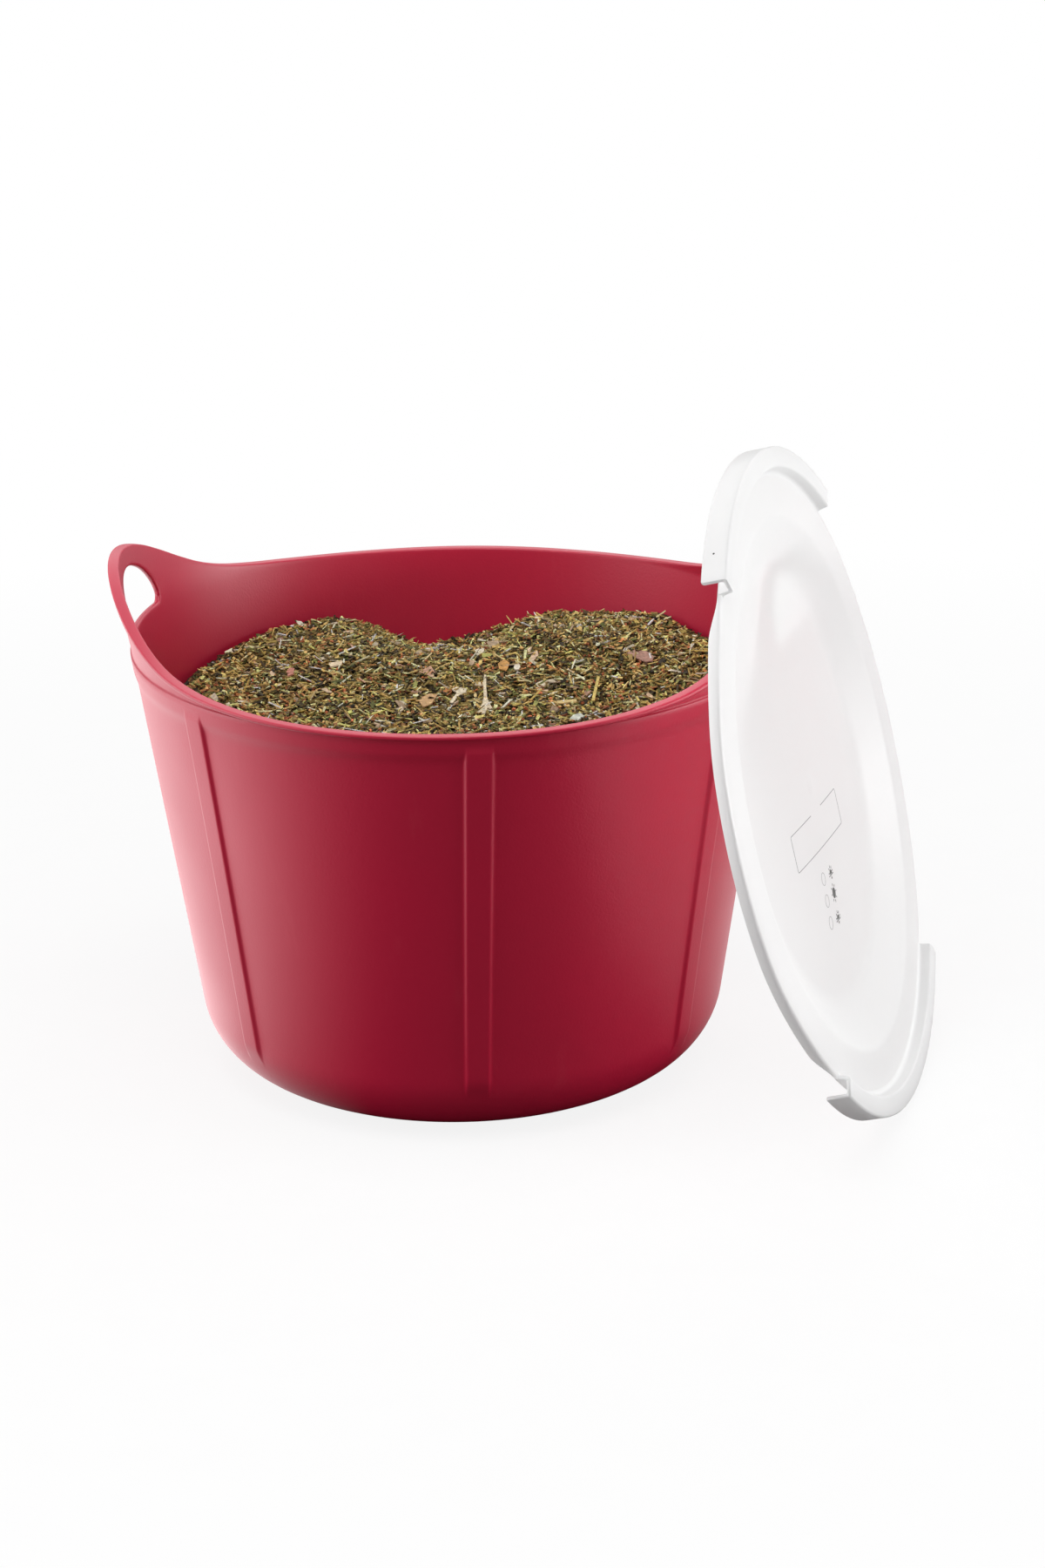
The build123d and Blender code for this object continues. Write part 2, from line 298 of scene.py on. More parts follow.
def make_piece(
    name: str,
    surface: Surface,
    material: bpy.types.Material,
    body: str,
    flat: bool = False,
    mend: bool = True,
) -> bpy.types.Object:
    """Makes a mesh object and lets it ride.

    Args:
        name: The piece's name.
        surface: Points in millimetres in the row frame, and faces.
        material: Its finish.
        body: The CAD body that it rides on.
        flat: Flat shading, for small broken pieces and print.
        mend: Recalculates the normals of closed shells.

    Returns:
        The new object, at the origin.
    """
    points, faces = surface
    mesh = bpy.data.meshes.new(name)
    mesh.from_pydata((np.asarray(points) * MM).tolist(), [], faces)
    mesh.validate()
    if mend:
        work = bmesh.new()
        work.from_mesh(mesh)
        bmesh.ops.recalc_face_normals(work, faces=work.faces)
        work.to_mesh(mesh)
        work.free()
    mesh.polygons.foreach_set("use_smooth", [not flat] * len(mesh.polygons))
    mesh.materials.append(material)
    mesh.update()
    piece = add_object(name, mesh)
    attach(piece, body)
    LOG.info("%s: %d vertices, %d faces", name, len(mesh.vertices), len(mesh.polygons))
    return piece


# Shader tools
def linear(colour: Colour) -> tuple[float, float, float, float]:
    """Linear colour of a shader socket.

    Args:
        colour: Screen colour, each part from 0 to 255.

    Returns:
        Red, green, blue and a full alpha.
    """
    c = np.array(colour) / 255.0
    c = np.where(c <= 0.04045, c / 12.92, ((c + 0.055) / 1.055) ** 2.4)
    return (*c.tolist(), 1.0)


class Nodes:
    """Short way to add and join shader nodes in one tree."""

    def __init__(self, tree: bpy.types.NodeTree) -> None:
        """Keeps the tree to work in."""
        self.tree = tree

    def set(self, node: bpy.types.Node, inputs: dict) -> None:
        """Gives a node's inputs their values or links.

        Args:
            node: The node.
            inputs: Socket name or number to a value or to an output socket.
        """
        for key, value in inputs.items():
            if isinstance(value, Socket):
                self.tree.links.new(value, node.inputs[key])
            else:
                node.inputs[key].default_value = value

    def add(self, kind: str, inputs: dict | None = None, **settings: object) -> bpy.types.Node:
        """Adds a node.

        Args:
            kind: Blender's type name, without the ShaderNode part.
            inputs: As for set.
            settings: The node's own properties.

        Returns:
            The new node.
        """
        node = self.tree.nodes.new(kind if kind.startswith("Node") else "ShaderNode" + kind)
        for key, value in settings.items():
            setattr(node, key, value)
        self.set(node, inputs or {})
        return node

    def math(self, operation: str, *values: object) -> Socket:
        """Result of a sum on one or two values or sockets."""
        return self.add("Math", dict(enumerate(values)), operation=operation).outputs[0]

    def mix(self, factor: object, first: object, second: object) -> Socket:
        """Number that goes from first at factor 0 to second at factor 1."""
        return self.add("Mix", {0: factor, 2: first, 3: second}).outputs[0]

    def blend(self, factor: object, first: Colour | Socket, second: Colour | Socket) -> Socket:
        """Colour that goes from first at factor 0 to second at factor 1."""
        ends = [c if isinstance(c, Socket) else linear(c) for c in (first, second)]
        return self.add("Mix", {0: factor, 6: ends[0], 7: ends[1]}, data_type="RGBA").outputs[2]

    def span(self, value: object, low: float, high: float, start: float, end: float) -> Socket:
        """Value mapped from low..high to start..end."""
        return self.add("MapRange", {0: value, 1: low, 2: high, 3: start, 4: end}).outputs[0]

    def over(self, factor: object, first: object, second: object) -> Socket:
        """Shader that goes from first at factor 0 to second at factor 1."""
        return self.add("MixShader", {0: factor, 1: first, 2: second}).outputs[0]


def new_material(name: str) -> tuple[bpy.types.Material, Nodes, bpy.types.Node, bpy.types.Node]:
    """Adds a material.

    Args:
        name: Its name.

    Returns:
        The material, its nodes, its Principled shader and its output.
    """
    material = bpy.data.materials.new(name)
    material.use_nodes = True
    nodes = material.node_tree.nodes
    return material, Nodes(material.node_tree), nodes["Principled BSDF"], nodes["Material Output"]


def moulded_grain_group() -> bpy.types.NodeTree:
    """Group for moulded plastic, from Object coordinates.

    It gives a fine orange-peel height, soft scuffs and slow clouds.

    Returns:
        The group, with inputs Grain Scale and Scuff Scale and outputs Height,
        Scuffs and Cloud.
    """
    group = bpy.data.node_groups.new("moulded_grain", "ShaderNodeTree")
    sockets = {"INPUT": ("Grain Scale", "Scuff Scale"), "OUTPUT": ("Height", "Scuffs", "Cloud")}
    for way, labels in sockets.items():
        for label in labels:
            group.interface.new_socket(label, in_out=way, socket_type="NodeSocketFloat")
    n = Nodes(group)
    given = n.add("NodeGroupInput").outputs
    place = n.add("TexCoord").outputs["Object"]
    peel = n.add("TexNoise", {"Vector": place, "Scale": given["Grain Scale"], "Detail": 2.0})
    long = n.add("Mapping", {"Vector": place, "Scale": (1.0, 1.0, 0.16), "Rotation": (0.3, 0.2, 0.0)})
    streaks = {"Vector": long.outputs[0], "Scale": given["Scuff Scale"], "Detail": 6.0, "Roughness": 0.7}
    thin = n.span(n.add("TexNoise", streaks).outputs[0], 0.62, 0.80, 0.0, 1.0)
    cloud = n.add("TexNoise", {"Vector": place, "Scale": 9.0, "Detail": 3.0})
    n.add("NodeGroupOutput", {"Height": peel.outputs[0], "Scuffs": thin, "Cloud": cloud.outputs[0]})
    return group


@dataclass(frozen=True)
class MouldedPlastic:
    """Satin moulded plastic.

    Attributes:
        name: The material's name.
        colour: Screen colour of the plastic.
        shade: Screen colour of its darker clouds.
        scuff: Screen colour of soft scuffs.
        roughness: Middle roughness.
        specular: Specular level of the shader.
        peel: Height of the orange peel, in metres.
        scuffing: Share of the scuff colour at most.
        through: Share of lamp light that a wall lets through.
        glow: Share of light that a lit wall scatters to its other side.
        peel_scale: Scale of the orange peel.
        scuff_scale: Scale of the scuffs.
    """

    name: str
    colour: Colour
    shade: Colour
    scuff: Colour
    roughness: float
    specular: float
    peel: float
    scuffing: float
    through: float = 0.0
    glow: float = 0.0
    peel_scale: float = 900.0
    scuff_scale: float = 60.0

    def material(self, group: bpy.types.NodeTree) -> bpy.types.Material:
        """Builds the shader.

        Args:
            group: The shared grain group.

        Returns:
            The finished material.
        """
        material, n, shader, out = new_material(self.name)
        scales = {"Grain Scale": self.peel_scale, "Scuff Scale": self.scuff_scale}
        height, scuffs, cloud = n.add("Group", scales, node_tree=group).outputs
        plain = n.blend(n.span(cloud, 0.35, 0.65, 0.0, 1.0), self.colour, self.shade)
        worn = n.blend(n.span(scuffs, 0.0, 1.0, 0.0, self.scuffing), plain, self.scuff)
        bump = n.add("Bump", {"Height": height, "Distance": self.peel, "Strength": 0.6})
        n.set(shader, {
            "Base Color": worn,
            "Roughness": n.span(cloud, 0.2, 0.8, self.roughness - 0.05, self.roughness + 0.05),
            "Normal": bump.outputs[0],
            "Specular IOR Level": self.specular,
        })
        if self.through > 0:
            share = n.math("MULTIPLY", n.add("LightPath").outputs["Is Shadow Ray"], self.through)
            glow = n.add("BsdfTranslucent", {"Color": worn}).outputs[0]
            sheet = n.over(self.glow, shader.outputs[0], glow)
            n.set(out, {0: n.over(share, sheet, n.add("BsdfTransparent").outputs[0])})
        return material


@dataclass(frozen=True)
class PrintedInk:
    """Thin matt ink.

    Attributes:
        name: The material's name.
        colour: Screen colour of full ink.
        thin: Screen colour where the ink is thin.
    """

    name: str
    colour: Colour
    thin: Colour

    def material(self) -> bpy.types.Material:
        """Builds the shader.

        Returns:
            The finished material.
        """
        material, n, shader, _ = new_material(self.name)
        place = n.add("TexCoord").outputs["Object"]
        patch = n.add("TexNoise", {"Vector": place, "Scale": 2400.0, "Detail": 2.0}).outputs[0]
        ink = n.blend(n.span(patch, 0.5, 0.75, 0.0, 1.0), self.colour, self.thin)
        n.set(shader, {"Base Color": ink, "Roughness": 0.6})
        return material


@dataclass(frozen=True)
class DryChaff:
    """Dry plant pieces whose tint is in a colour attribute.

    Attributes:
        name: The material's name.
        fibre: Scale of the fibre streaks.
        dark: How much the streaks darken the tint.
    """

    name: str
    fibre: float
    dark: float

    def material(self) -> bpy.types.Material:
        """Builds the shader.

        Returns:
            The finished material.
        """
        material, n, shader, _ = new_material(self.name)
        tint = n.add("Attribute", attribute_name="tint").outputs["Color"]
        place = n.add("TexCoord").outputs["Object"]
        streak = n.add("TexNoise", {"Vector": place, "Scale": self.fibre, "Detail": 3.0}).outputs[0]
        shade = n.span(streak, 0.3, 0.7, 1.0 - self.dark, 1.0 + 0.25 * self.dark)
        n.set(shader, {
            "Base Color": n.add("VectorMath", {0: tint, 3: shade}, operation="SCALE").outputs[0],
            "Normal": n.add("Bump", {"Height": streak, "Distance": 0.0003, "Strength": 0.5}).outputs[0],
            "Roughness": 0.72,
            "Specular IOR Level": 0.3,
        })
        return material


# The bowl
@dataclass
class Bowl:
    """One-piece flexible bowl. Sizes in millimetres, as in the part's source.

    It is one closed surface: a profile from the middle of the base, up the
    outside, over the rim edge and down the inside, worked out at every
    column round the bowl. Both handles have a finger hole with a round lip.
    A foot, top, flank or reach is where such a form begins and where it is
    full or gone.
    """

    # Shell, corners and the rows of the profile
    rim_height: float = 202.4
    rim_radius: float = 150.0
    slope: float = 0.1452
    wall: float = 3.03
    floor: float = 4.0
    corner: float = 36.0
    inner_corner: float = 33.0
    turn: float = -3.5
    base_rings: tuple[float, ...] = (12.0, 30.0, 50.0, 68.0, 80.0)
    floor_rings: tuple[float, ...] = (70.0, 45.0, 20.0, 8.0)
    outer_rows: tuple[float, ...] = (
        33.0, 36.0, 40.0, 46.0, 54.0, 64.0, 76.0, 88.0, 100.0, 112.0, 124.0, 136.0, 148.0, 160.0,
        170.0, 178.0, 184.0, 188.0, 190.0, 191.2, 192.2, 193.2, 194.2, 195.4, 197.0, 198.6)
    inner_rows: tuple[float, ...] = (
        198.0, 192.0, 182.0, 168.0, 152.0, 136.0, 120.0, 104.0, 88.0, 72.0, 58.0, 46.0, 38.0)

    # Waves, collar and bands
    wave: Pair = (0.22, 0.12)
    wave_phase: float = 0.6
    wave_twist: float = 60.0
    collar_proud: float = 0.9
    collar_foot: Pair = (188.5, 195.0)
    collar_top: Pair = (201.2, 202.4)
    band_proud: float = 1.5
    band_half: float = 4.5
    band_growth: float = 0.9
    band_widest: float = 190.0
    band_foot: Pair = (23.5, 33.0)
    band_top: Pair = (194.5, 198.0)
    band_flank: Pair = (-0.2, 1.5)
    band_angles: tuple[float, ...] = (220.0, 274.8, 325.0, 16.0, 67.0, 118.0, 169.0)
    front_band: int = 1
    front_lean: float = -1.1
    front_reach: Pair = (5.0, 20.0)

    # Rim line, its edge, and the lean of the wall above the rim height
    rim_across: tuple[float, ...] = (0.0, 16.0, 31.6, 47.0, 62.5, 76.0, 89.0, 102.0, 116.0, 138.0, 170.0)
    rim_rise: tuple[float, ...] = (39.1, 37.6, 33.4, 27.0, 19.3, 12.8, 8.0, 5.0, 2.9, 0.8, 0.0)
    rim_edge: Pair = (2.1, 5.0)
    rim_round: float = 0.9
    ledge: float = 2.1
    ledge_round: float = 0.7
    lid_tilt: float = 14.87
    flare_heights: Triple = (0.0, 20.0, 46.0)
    flare: Triple = (0.0, 0.9, 2.1)
    press_heights: Triple = (0.0, 20.0, 44.1)
    press_ease: float = 0.4
    side_blend: Pair = (-0.06, 0.06)

    # Finger holes and the grid round them
    hole_end: float = 37.5
    hole_flat: float = 33.2
    hole_round: float = 4.4
    hole_bottom: float = 206.6
    arch_across: tuple[float, ...] = (0.0, 10.0, 18.0, 24.5, 29.5, 33.0, 35.6, 37.0, 37.6)
    arch_height: tuple[float, ...] = (233.4, 232.5, 230.2, 227.2, 223.8, 220.2, 216.6, 213.6, 211.4)
    lip: float = 0.9
    lip_power: float = 0.6
    tail_reach: float = 16.0
    tail_near: Pair = (9.3 / 27.5, 10.2 / 27.5)
    tail_far: Pair = (0.3, 0.7)
    zone_foot: float = 201.4
    zone_rows: tuple[float, ...] = (201.8, 202.1, 202.4, 203.0)
    zone_runs: int = 24
    zone_sill: float = 0.1
    zone_margin: float = 0.05
    phi: Array = field(init=False)

    def __post_init__(self) -> None:
        """Works out the columns, in radians from the handle line."""
        self.phi = self.columns()

    def cone(self, z: Array) -> Array:
        """Outside radius of the straight wall at the height z."""
        return self.rim_radius - self.ledge - self.slope * (self.rim_height - z)

    def across(self) -> Array:
        """Distance of each column from the handle line, at the rim."""
        return np.abs(self.rim_radius * np.sin(self.phi))

    def away(self, direction: float) -> Array:
        """Angle from each column to a direction in degrees, in radians."""
        return np.abs((self.phi - math.radians(direction - self.turn) + math.pi) % FULL_TURN - math.pi)

    def columns(self) -> Array:
        """Column angles: even steps, with more at band edges and holes.

        Each wanted angle has a rank: 0 for the even steps, 1 at bands, 2 at
        holes and 3 at the ends of holes. The highest rank is placed first,
        and an angle too near to a placed one is left out.

        Returns:
            Rising angles from -90 to 270 degrees, in radians.
        """
        even_step, band_radius = 1.6, 140.0
        gaps = (0.7, 0.16, 0.03, 0.03)
        spots = [(angle, 0) for angle in np.arange(-90.0, 270.0, even_step)]
        inside = self.hole_end * np.sin(np.linspace(0, QUARTER, 16))
        beyond = self.hole_end + np.array([0.7, 1.6, 3.0, 5.0, 7.5])
        for y in np.concatenate([inside, beyond]):
            angle = math.degrees(math.asin(y / self.rim_radius))
            rank = 3 if math.isclose(y, self.hole_end) else 2
            spots += [(middle + side * angle, rank) for middle in (0.0, 180.0) for side in (1, -1)]
        for direction in self.band_angles:
            centre = (direction - self.turn + 90.0) % 360.0 - 90.0
            for offset in (0.0, 2.5, 4.0, 4.7, 5.3, 5.8, 6.3, 6.9, 7.7):
                step = math.degrees(offset / band_radius)
                spots += [(centre + step, 1), (centre - step, 1)]
        spots.sort(key=lambda spot: (-spot[1], spot[0]))
        kept: list[float] = []
        for angle, rank in spots:
            if all(abs(angle - k) > gaps[rank] for k in kept) and -90.0 <= angle < 269.5:
                kept.append(angle)
        return np.radians(np.sort(np.array(kept)))

    def lean(self, z: Array) -> Array:
        """Radial lean of the wall above the rim height.

        The free handle flares outwards. The one beside the lid is pressed
        inwards, parallel to the lid.

        Args:
            z: Heights, one row of columns or a single number.

        Returns:
            The offset of the wall at each column.
        """
        up = np.maximum(z - self.rim_height, 0.0)
        press = math.tan(math.radians(self.lid_tilt)) + self.slope
        free = curve_through(up, self.flare_heights, self.flare)
        inwards = [0.0] + [self.press_ease - rise * press for rise in self.press_heights[1:]]
        pressed = curve_through(up, self.press_heights, inwards)
        side = smooth(*self.side_blend, np.cos(self.phi))
        return free * (1 - side) + pressed * side

    def flex(self, z: Array) -> Array:
        """Slow waves of the soft wall, three and seven round the bowl.

        They fade to nothing at the base and at the rim.

        Args:
            z: Height of each column.

        Returns:
            The offset of the wall, up to a third of a millimetre.
        """
        share = np.sin(np.pi * np.clip(z / self.rim_height, 0, 1))
        wide = self.wave[0] * np.sin(3 * self.phi + self.wave_phase)
        narrow = self.wave[1] * np.sin(7 * self.phi + z / self.wave_twist)
        return share * (wide + narrow)

    def bands(self, z: Array) -> Array:
        """Raised bands: a flat top with sloped sides, faded at both ends.

        Args:
            z: Height of each column.

        Returns:
            How far the bands stand out at each column.
        """
        height = np.broadcast_to(z, self.phi.shape)
        share = smooth(*self.band_foot, height) * (1 - smooth(*self.band_top, height))
        half = self.band_half + self.band_growth * np.clip(height / self.band_widest, 0, 1)
        total = np.zeros_like(self.phi)
        for direction in self.band_angles:
            offset = self.away(direction) * self.cone(height)
            total = np.maximum(total, 1 - smooth(*self.band_flank, offset - half))
        return self.band_proud * share * total

    def shear(self, z: Array) -> Array:
        """Turn of the wall near the front band.

        The soft wall lets that band lean, none at the rim and most at the
        base.

        Args:
            z: Height of each column.

        Returns:
            The turn in radians.
        """
        offset = np.degrees(self.away(self.band_angles[self.front_band]))
        share = 1 - np.clip(z / self.rim_height, 0, 1)
        return math.radians(self.front_lean) * share * (1 - smooth(*self.front_reach, offset))

    def collar(self, z: Array) -> Array:
        """Thicker ring just under the rim, with a soft lower edge."""
        return self.collar_proud * smooth(*self.collar_foot, z) * (1 - smooth(*self.collar_top, z))

    def outside(self, z: Array) -> Array:
        """Outside radius with collar, bands and waves, at each column."""
        return self.cone(z) + self.lean(z) + np.maximum(self.collar(z), self.bands(z)) + self.flex(z)

    def inside(self, z: Array) -> Array:
        """Inside radius at each column."""
        return self.cone(z) + self.lean(z) + self.flex(z) - self.wall

    def corner_arc(self, radius: float, base: float, inset: float, steps: int) -> Array:
        """Round corner between a flat base and a wall parallel to the cone.

        Its middle is one radius above the base and one radius inside the
        wall, so r = middle + radius sin(a) and z = base + radius (1 - cos(a)).

        Args:
            radius: Radius of the corner.
            base: Height of the flat base.
            inset: How far inside the cone the wall is.
            steps: Runs of the arc.

        Returns:
            Rows (r, z), from the base to the wall.
        """
        theta = math.atan(self.slope)
        foot = base + radius * (1 - math.sin(theta))
        middle = float(self.cone(foot)) - inset - radius * math.cos(theta)
        a = np.linspace(0, QUARTER - theta, steps + 1)
        return np.column_stack([middle + radius * np.sin(a), base + radius * (1 - np.cos(a))])

    def hole_heights(self, low: Array, high: Array) -> tuple[Array, Array]:
        """Lower and upper edge of the finger hole at each column.

        The lower edge is straight with quarter-circle ends; the upper edge
        is an arch. Past the hole's ends the two lines go on as plain grid
        lines between low and high, at shares of the zone that change from
        the near to the far ones of the tail.

        Args:
            low: Lower end of the handle zone.
            high: Upper end of the handle zone.

        Returns:
            The two heights.
        """
        y = self.across()
        t = np.clip((y - self.hole_flat) / self.hole_round, 0, 1)
        bottom = self.hole_bottom + self.hole_round * (1 - np.sqrt(1 - t**2))
        top = curve_through(y, self.arch_across, self.arch_height)
        out = smooth(self.hole_end, self.hole_end + self.tail_reach, y)
        tails = [low + (high - low) * (near * (1 - out) + far * out)
                 for near, far in zip(self.tail_near, self.tail_far)]
        in_hole = y <= self.hole_end + 1e-6
        return np.where(in_hole, bottom, tails[0]), np.where(in_hole, top, tails[1])

    def handle_zone(self, under: Array) -> tuple[list[Array], int, int]:
        """Heights of the rows from the collar to under the rim edge.

        Args:
            under: Height of the rim edge's underside at each column.

        Returns:
            The rows, and the first and last row of the finger hole.
        """
        start = np.minimum(self.zone_foot, under - 0.5)
        zone = [start]
        for k, z in enumerate(self.zone_rows, start=1):
            zone.append(np.minimum(z, start + (under - start) * k / self.zone_runs))
        foot = zone[-1]
        low, high = self.hole_heights(foot, under)
        low = np.maximum(low, foot + (under - foot) * self.zone_sill)
        margin = (under - low) * self.zone_margin
        high = np.minimum(np.maximum(high, low + margin), under - margin)
        zone += [foot + (low - foot) * t for t in (0.33, 0.66, 1.0)]
        first = len(zone) - 1
        zone += [low + (high - low) * t for t in np.linspace(0, 1, 11)[1:]]
        last = len(zone) - 1
        zone += [high + (under - high) * t for t in (0.25, 0.5, 0.75, 1.0)]
        return zone, first, last

    def edge_rows(self, top: Array, under: Array) -> Rows:
        """Rounded rim edge, from its underside over the top to the inside.

        Args:
            top: Height of the rim at each column.
            under: Height of the rim edge's underside.

        Returns:
            Radius and height of each row.
        """
        reach, crown = self.wall + self.ledge, 0.1
        small, large = self.ledge_round, self.rim_round
        turns = np.linspace(0, QUARTER, 6)
        steps = [(reach - small + small * math.sin(a), under + small * (1 - math.cos(a)))
                 for a in np.linspace(0, QUARTER, 4)]
        steps += [(reach + crown, (top + under) / 2 - crown)]
        steps += [(reach - large + large * math.cos(a), top - large + large * math.sin(a)) for a in turns]
        rows = [(self.inside(z) + offset, z) for offset, z in steps]
        rows += [(self.inside(top) + reach / 2, top + crown)]
        steps = [(large - large * math.sin(a), top - large + large * math.cos(a)) for a in turns]
        return rows + [(self.inside(z) + offset, z) for offset, z in steps]

    def profile(self) -> tuple[Rows, tuple[int, int], tuple[int, int]]:
        """Radius and height of every vertex, row by row.

        Returns:
            The rows, and the first and last row of the finger hole on the
            outside and on the inside.
        """
        rise = curve_through(self.across(), self.rim_across, self.rim_rise)
        top = self.rim_height + rise
        thin, thick = self.rim_edge
        under = top - (thin + (thick - thin) * rise / self.rim_rise[0])
        zone, first, last = self.handle_zone(under)
        rows = [(r, 0.0) for r in self.base_rings]
        for r, z in self.corner_arc(self.corner, 0.0, 0.0, 16):
            rows.append((r + self.bands(z) + self.flex(z), z))
        rows += [(self.outside(z), z) for z in self.outer_rows]
        outer_hole = (len(rows) + first, len(rows) + last)
        rows += [(self.outside(z), z) for z in zone]
        rows += self.edge_rows(top, under)
        inner_hole = (len(rows) + len(zone) - 1 - last, len(rows) + len(zone) - 1 - first)
        rows += [(self.inside(z), z) for z in reversed(zone)]
        rows += [(self.inside(z), z) for z in self.inner_rows]
        for r, z in self.corner_arc(self.inner_corner, self.floor, self.wall, 10)[::-1]:
            rows.append((r + self.flex(z), z))
        rows += [(r, self.floor) for r in self.floor_rings]
        return rows, outer_hole, inner_hole

    def surface(self) -> Surface:
        """Vertices and faces of the whole shell.

        Returns:
            Points in millimetres and the faces.
        """
        rows, outer, inner = self.profile()
        radii, heights = row_arrays(rows, self.phi)
        cols = len(self.phi)
        angle = self.phi + math.radians(self.turn) + self.shear(heights)
        points = turned(radii, angle, heights)
        quads = ring_quads(*radii.shape)
        keep = np.ones(quads.shape[:2], bool)
        loops: list[tuple[Array, Array]] = []
        for middle in (0.0, math.pi):
            offset = np.abs(self.rim_radius * np.sin(self.phi - middle))
            facing = np.cos(self.phi - middle) > 0
            columns = np.where((offset <= self.hole_end + 1e-6) & facing)[0]
            first, last = int(columns[0]), int(columns[-1])
            for low, high in (outer, inner):
                keep[low:high, first:last] = False
            loops.append(tuple(self.hole_loop(hole, first, last, cols) for hole in (outer, inner[::-1])))
        faces = quads[keep].tolist()
        for outside, within in loops:
            lip_points, lip_faces = self.lip_strip(points, outside, within)
            points = np.vstack([points, lip_points])
            faces += lip_faces
        points, fans = closed_at_poles(points, *radii.shape, 0.0, self.floor)
        return points, faces + fans

    @staticmethod
    def hole_loop(hole: tuple[int, int], first: int, last: int, cols: int) -> Array:
        """Vertex numbers round a hole: bottom, one end, top, other end.

        Args:
            hole: Rows of its lower and upper edge.
            first: Column of one end.
            last: Column of the other end.
            cols: Columns in a row.

        Returns:
            The numbers, once round.
        """
        low, high = hole
        step = 1 if high > low else -1
        across = np.arange(first, last)
        up = np.arange(low, high, step)
        return np.concatenate([
            low * cols + across,
            up * cols + last,
            high * cols + across[::-1] + 1,
            (up[::-1] + step) * cols + first,
        ])

    def lip_strip(self, points: Array, outside: Array, within: Array) -> Surface:
        """Round lip between the two edges of a hole.

        A lip point is the mix of the outer and inner edge points, pushed
        into the hole by lip * sin(pi t) ^ lip_power.

        Args:
            points: All vertices so far.
            outside: Loop on the outside.
            within: Matching loop on the inside.

        Returns:
            New points and faces.
        """
        a, b = points[outside], points[within]
        middle = (a + b) / 2
        centre = middle.mean(0)
        along = np.roll(middle, -1, 0) - np.roll(middle, 1, 0)
        outward = np.array([centre[0], centre[1], 0.0]) / np.hypot(centre[0], centre[1])
        push = np.cross(outward, along)
        push /= np.linalg.norm(push, axis=1)[:, None] + 1e-9
        push *= np.sign(np.sum(push * (centre - middle), 1).mean())
        steps = (0.12, 0.3, 0.5, 0.7, 0.88)
        pushes = [push * self.lip * math.sin(math.pi * t) ** self.lip_power for t in steps]
        rings = [a * (1 - t) + b * t + out for t, out in zip(steps, pushes)]
        fresh = len(points) + np.arange(len(steps) * len(outside)).reshape(len(steps), -1)
        chain = [outside, *fresh, within]
        faces: list = []
        for one, two in zip(chain, chain[1:]):
            faces += np.stack([one, np.roll(one, -1), np.roll(two, -1), two], -1).tolist()
        return np.vstack(rings), faces

    def build(self, plastic: bpy.types.Material) -> None:
        """Makes the bowl in place of its CAD node."""
        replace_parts(make_piece("bowl_shell", self.surface(), plastic, "bowl"), "bowl")


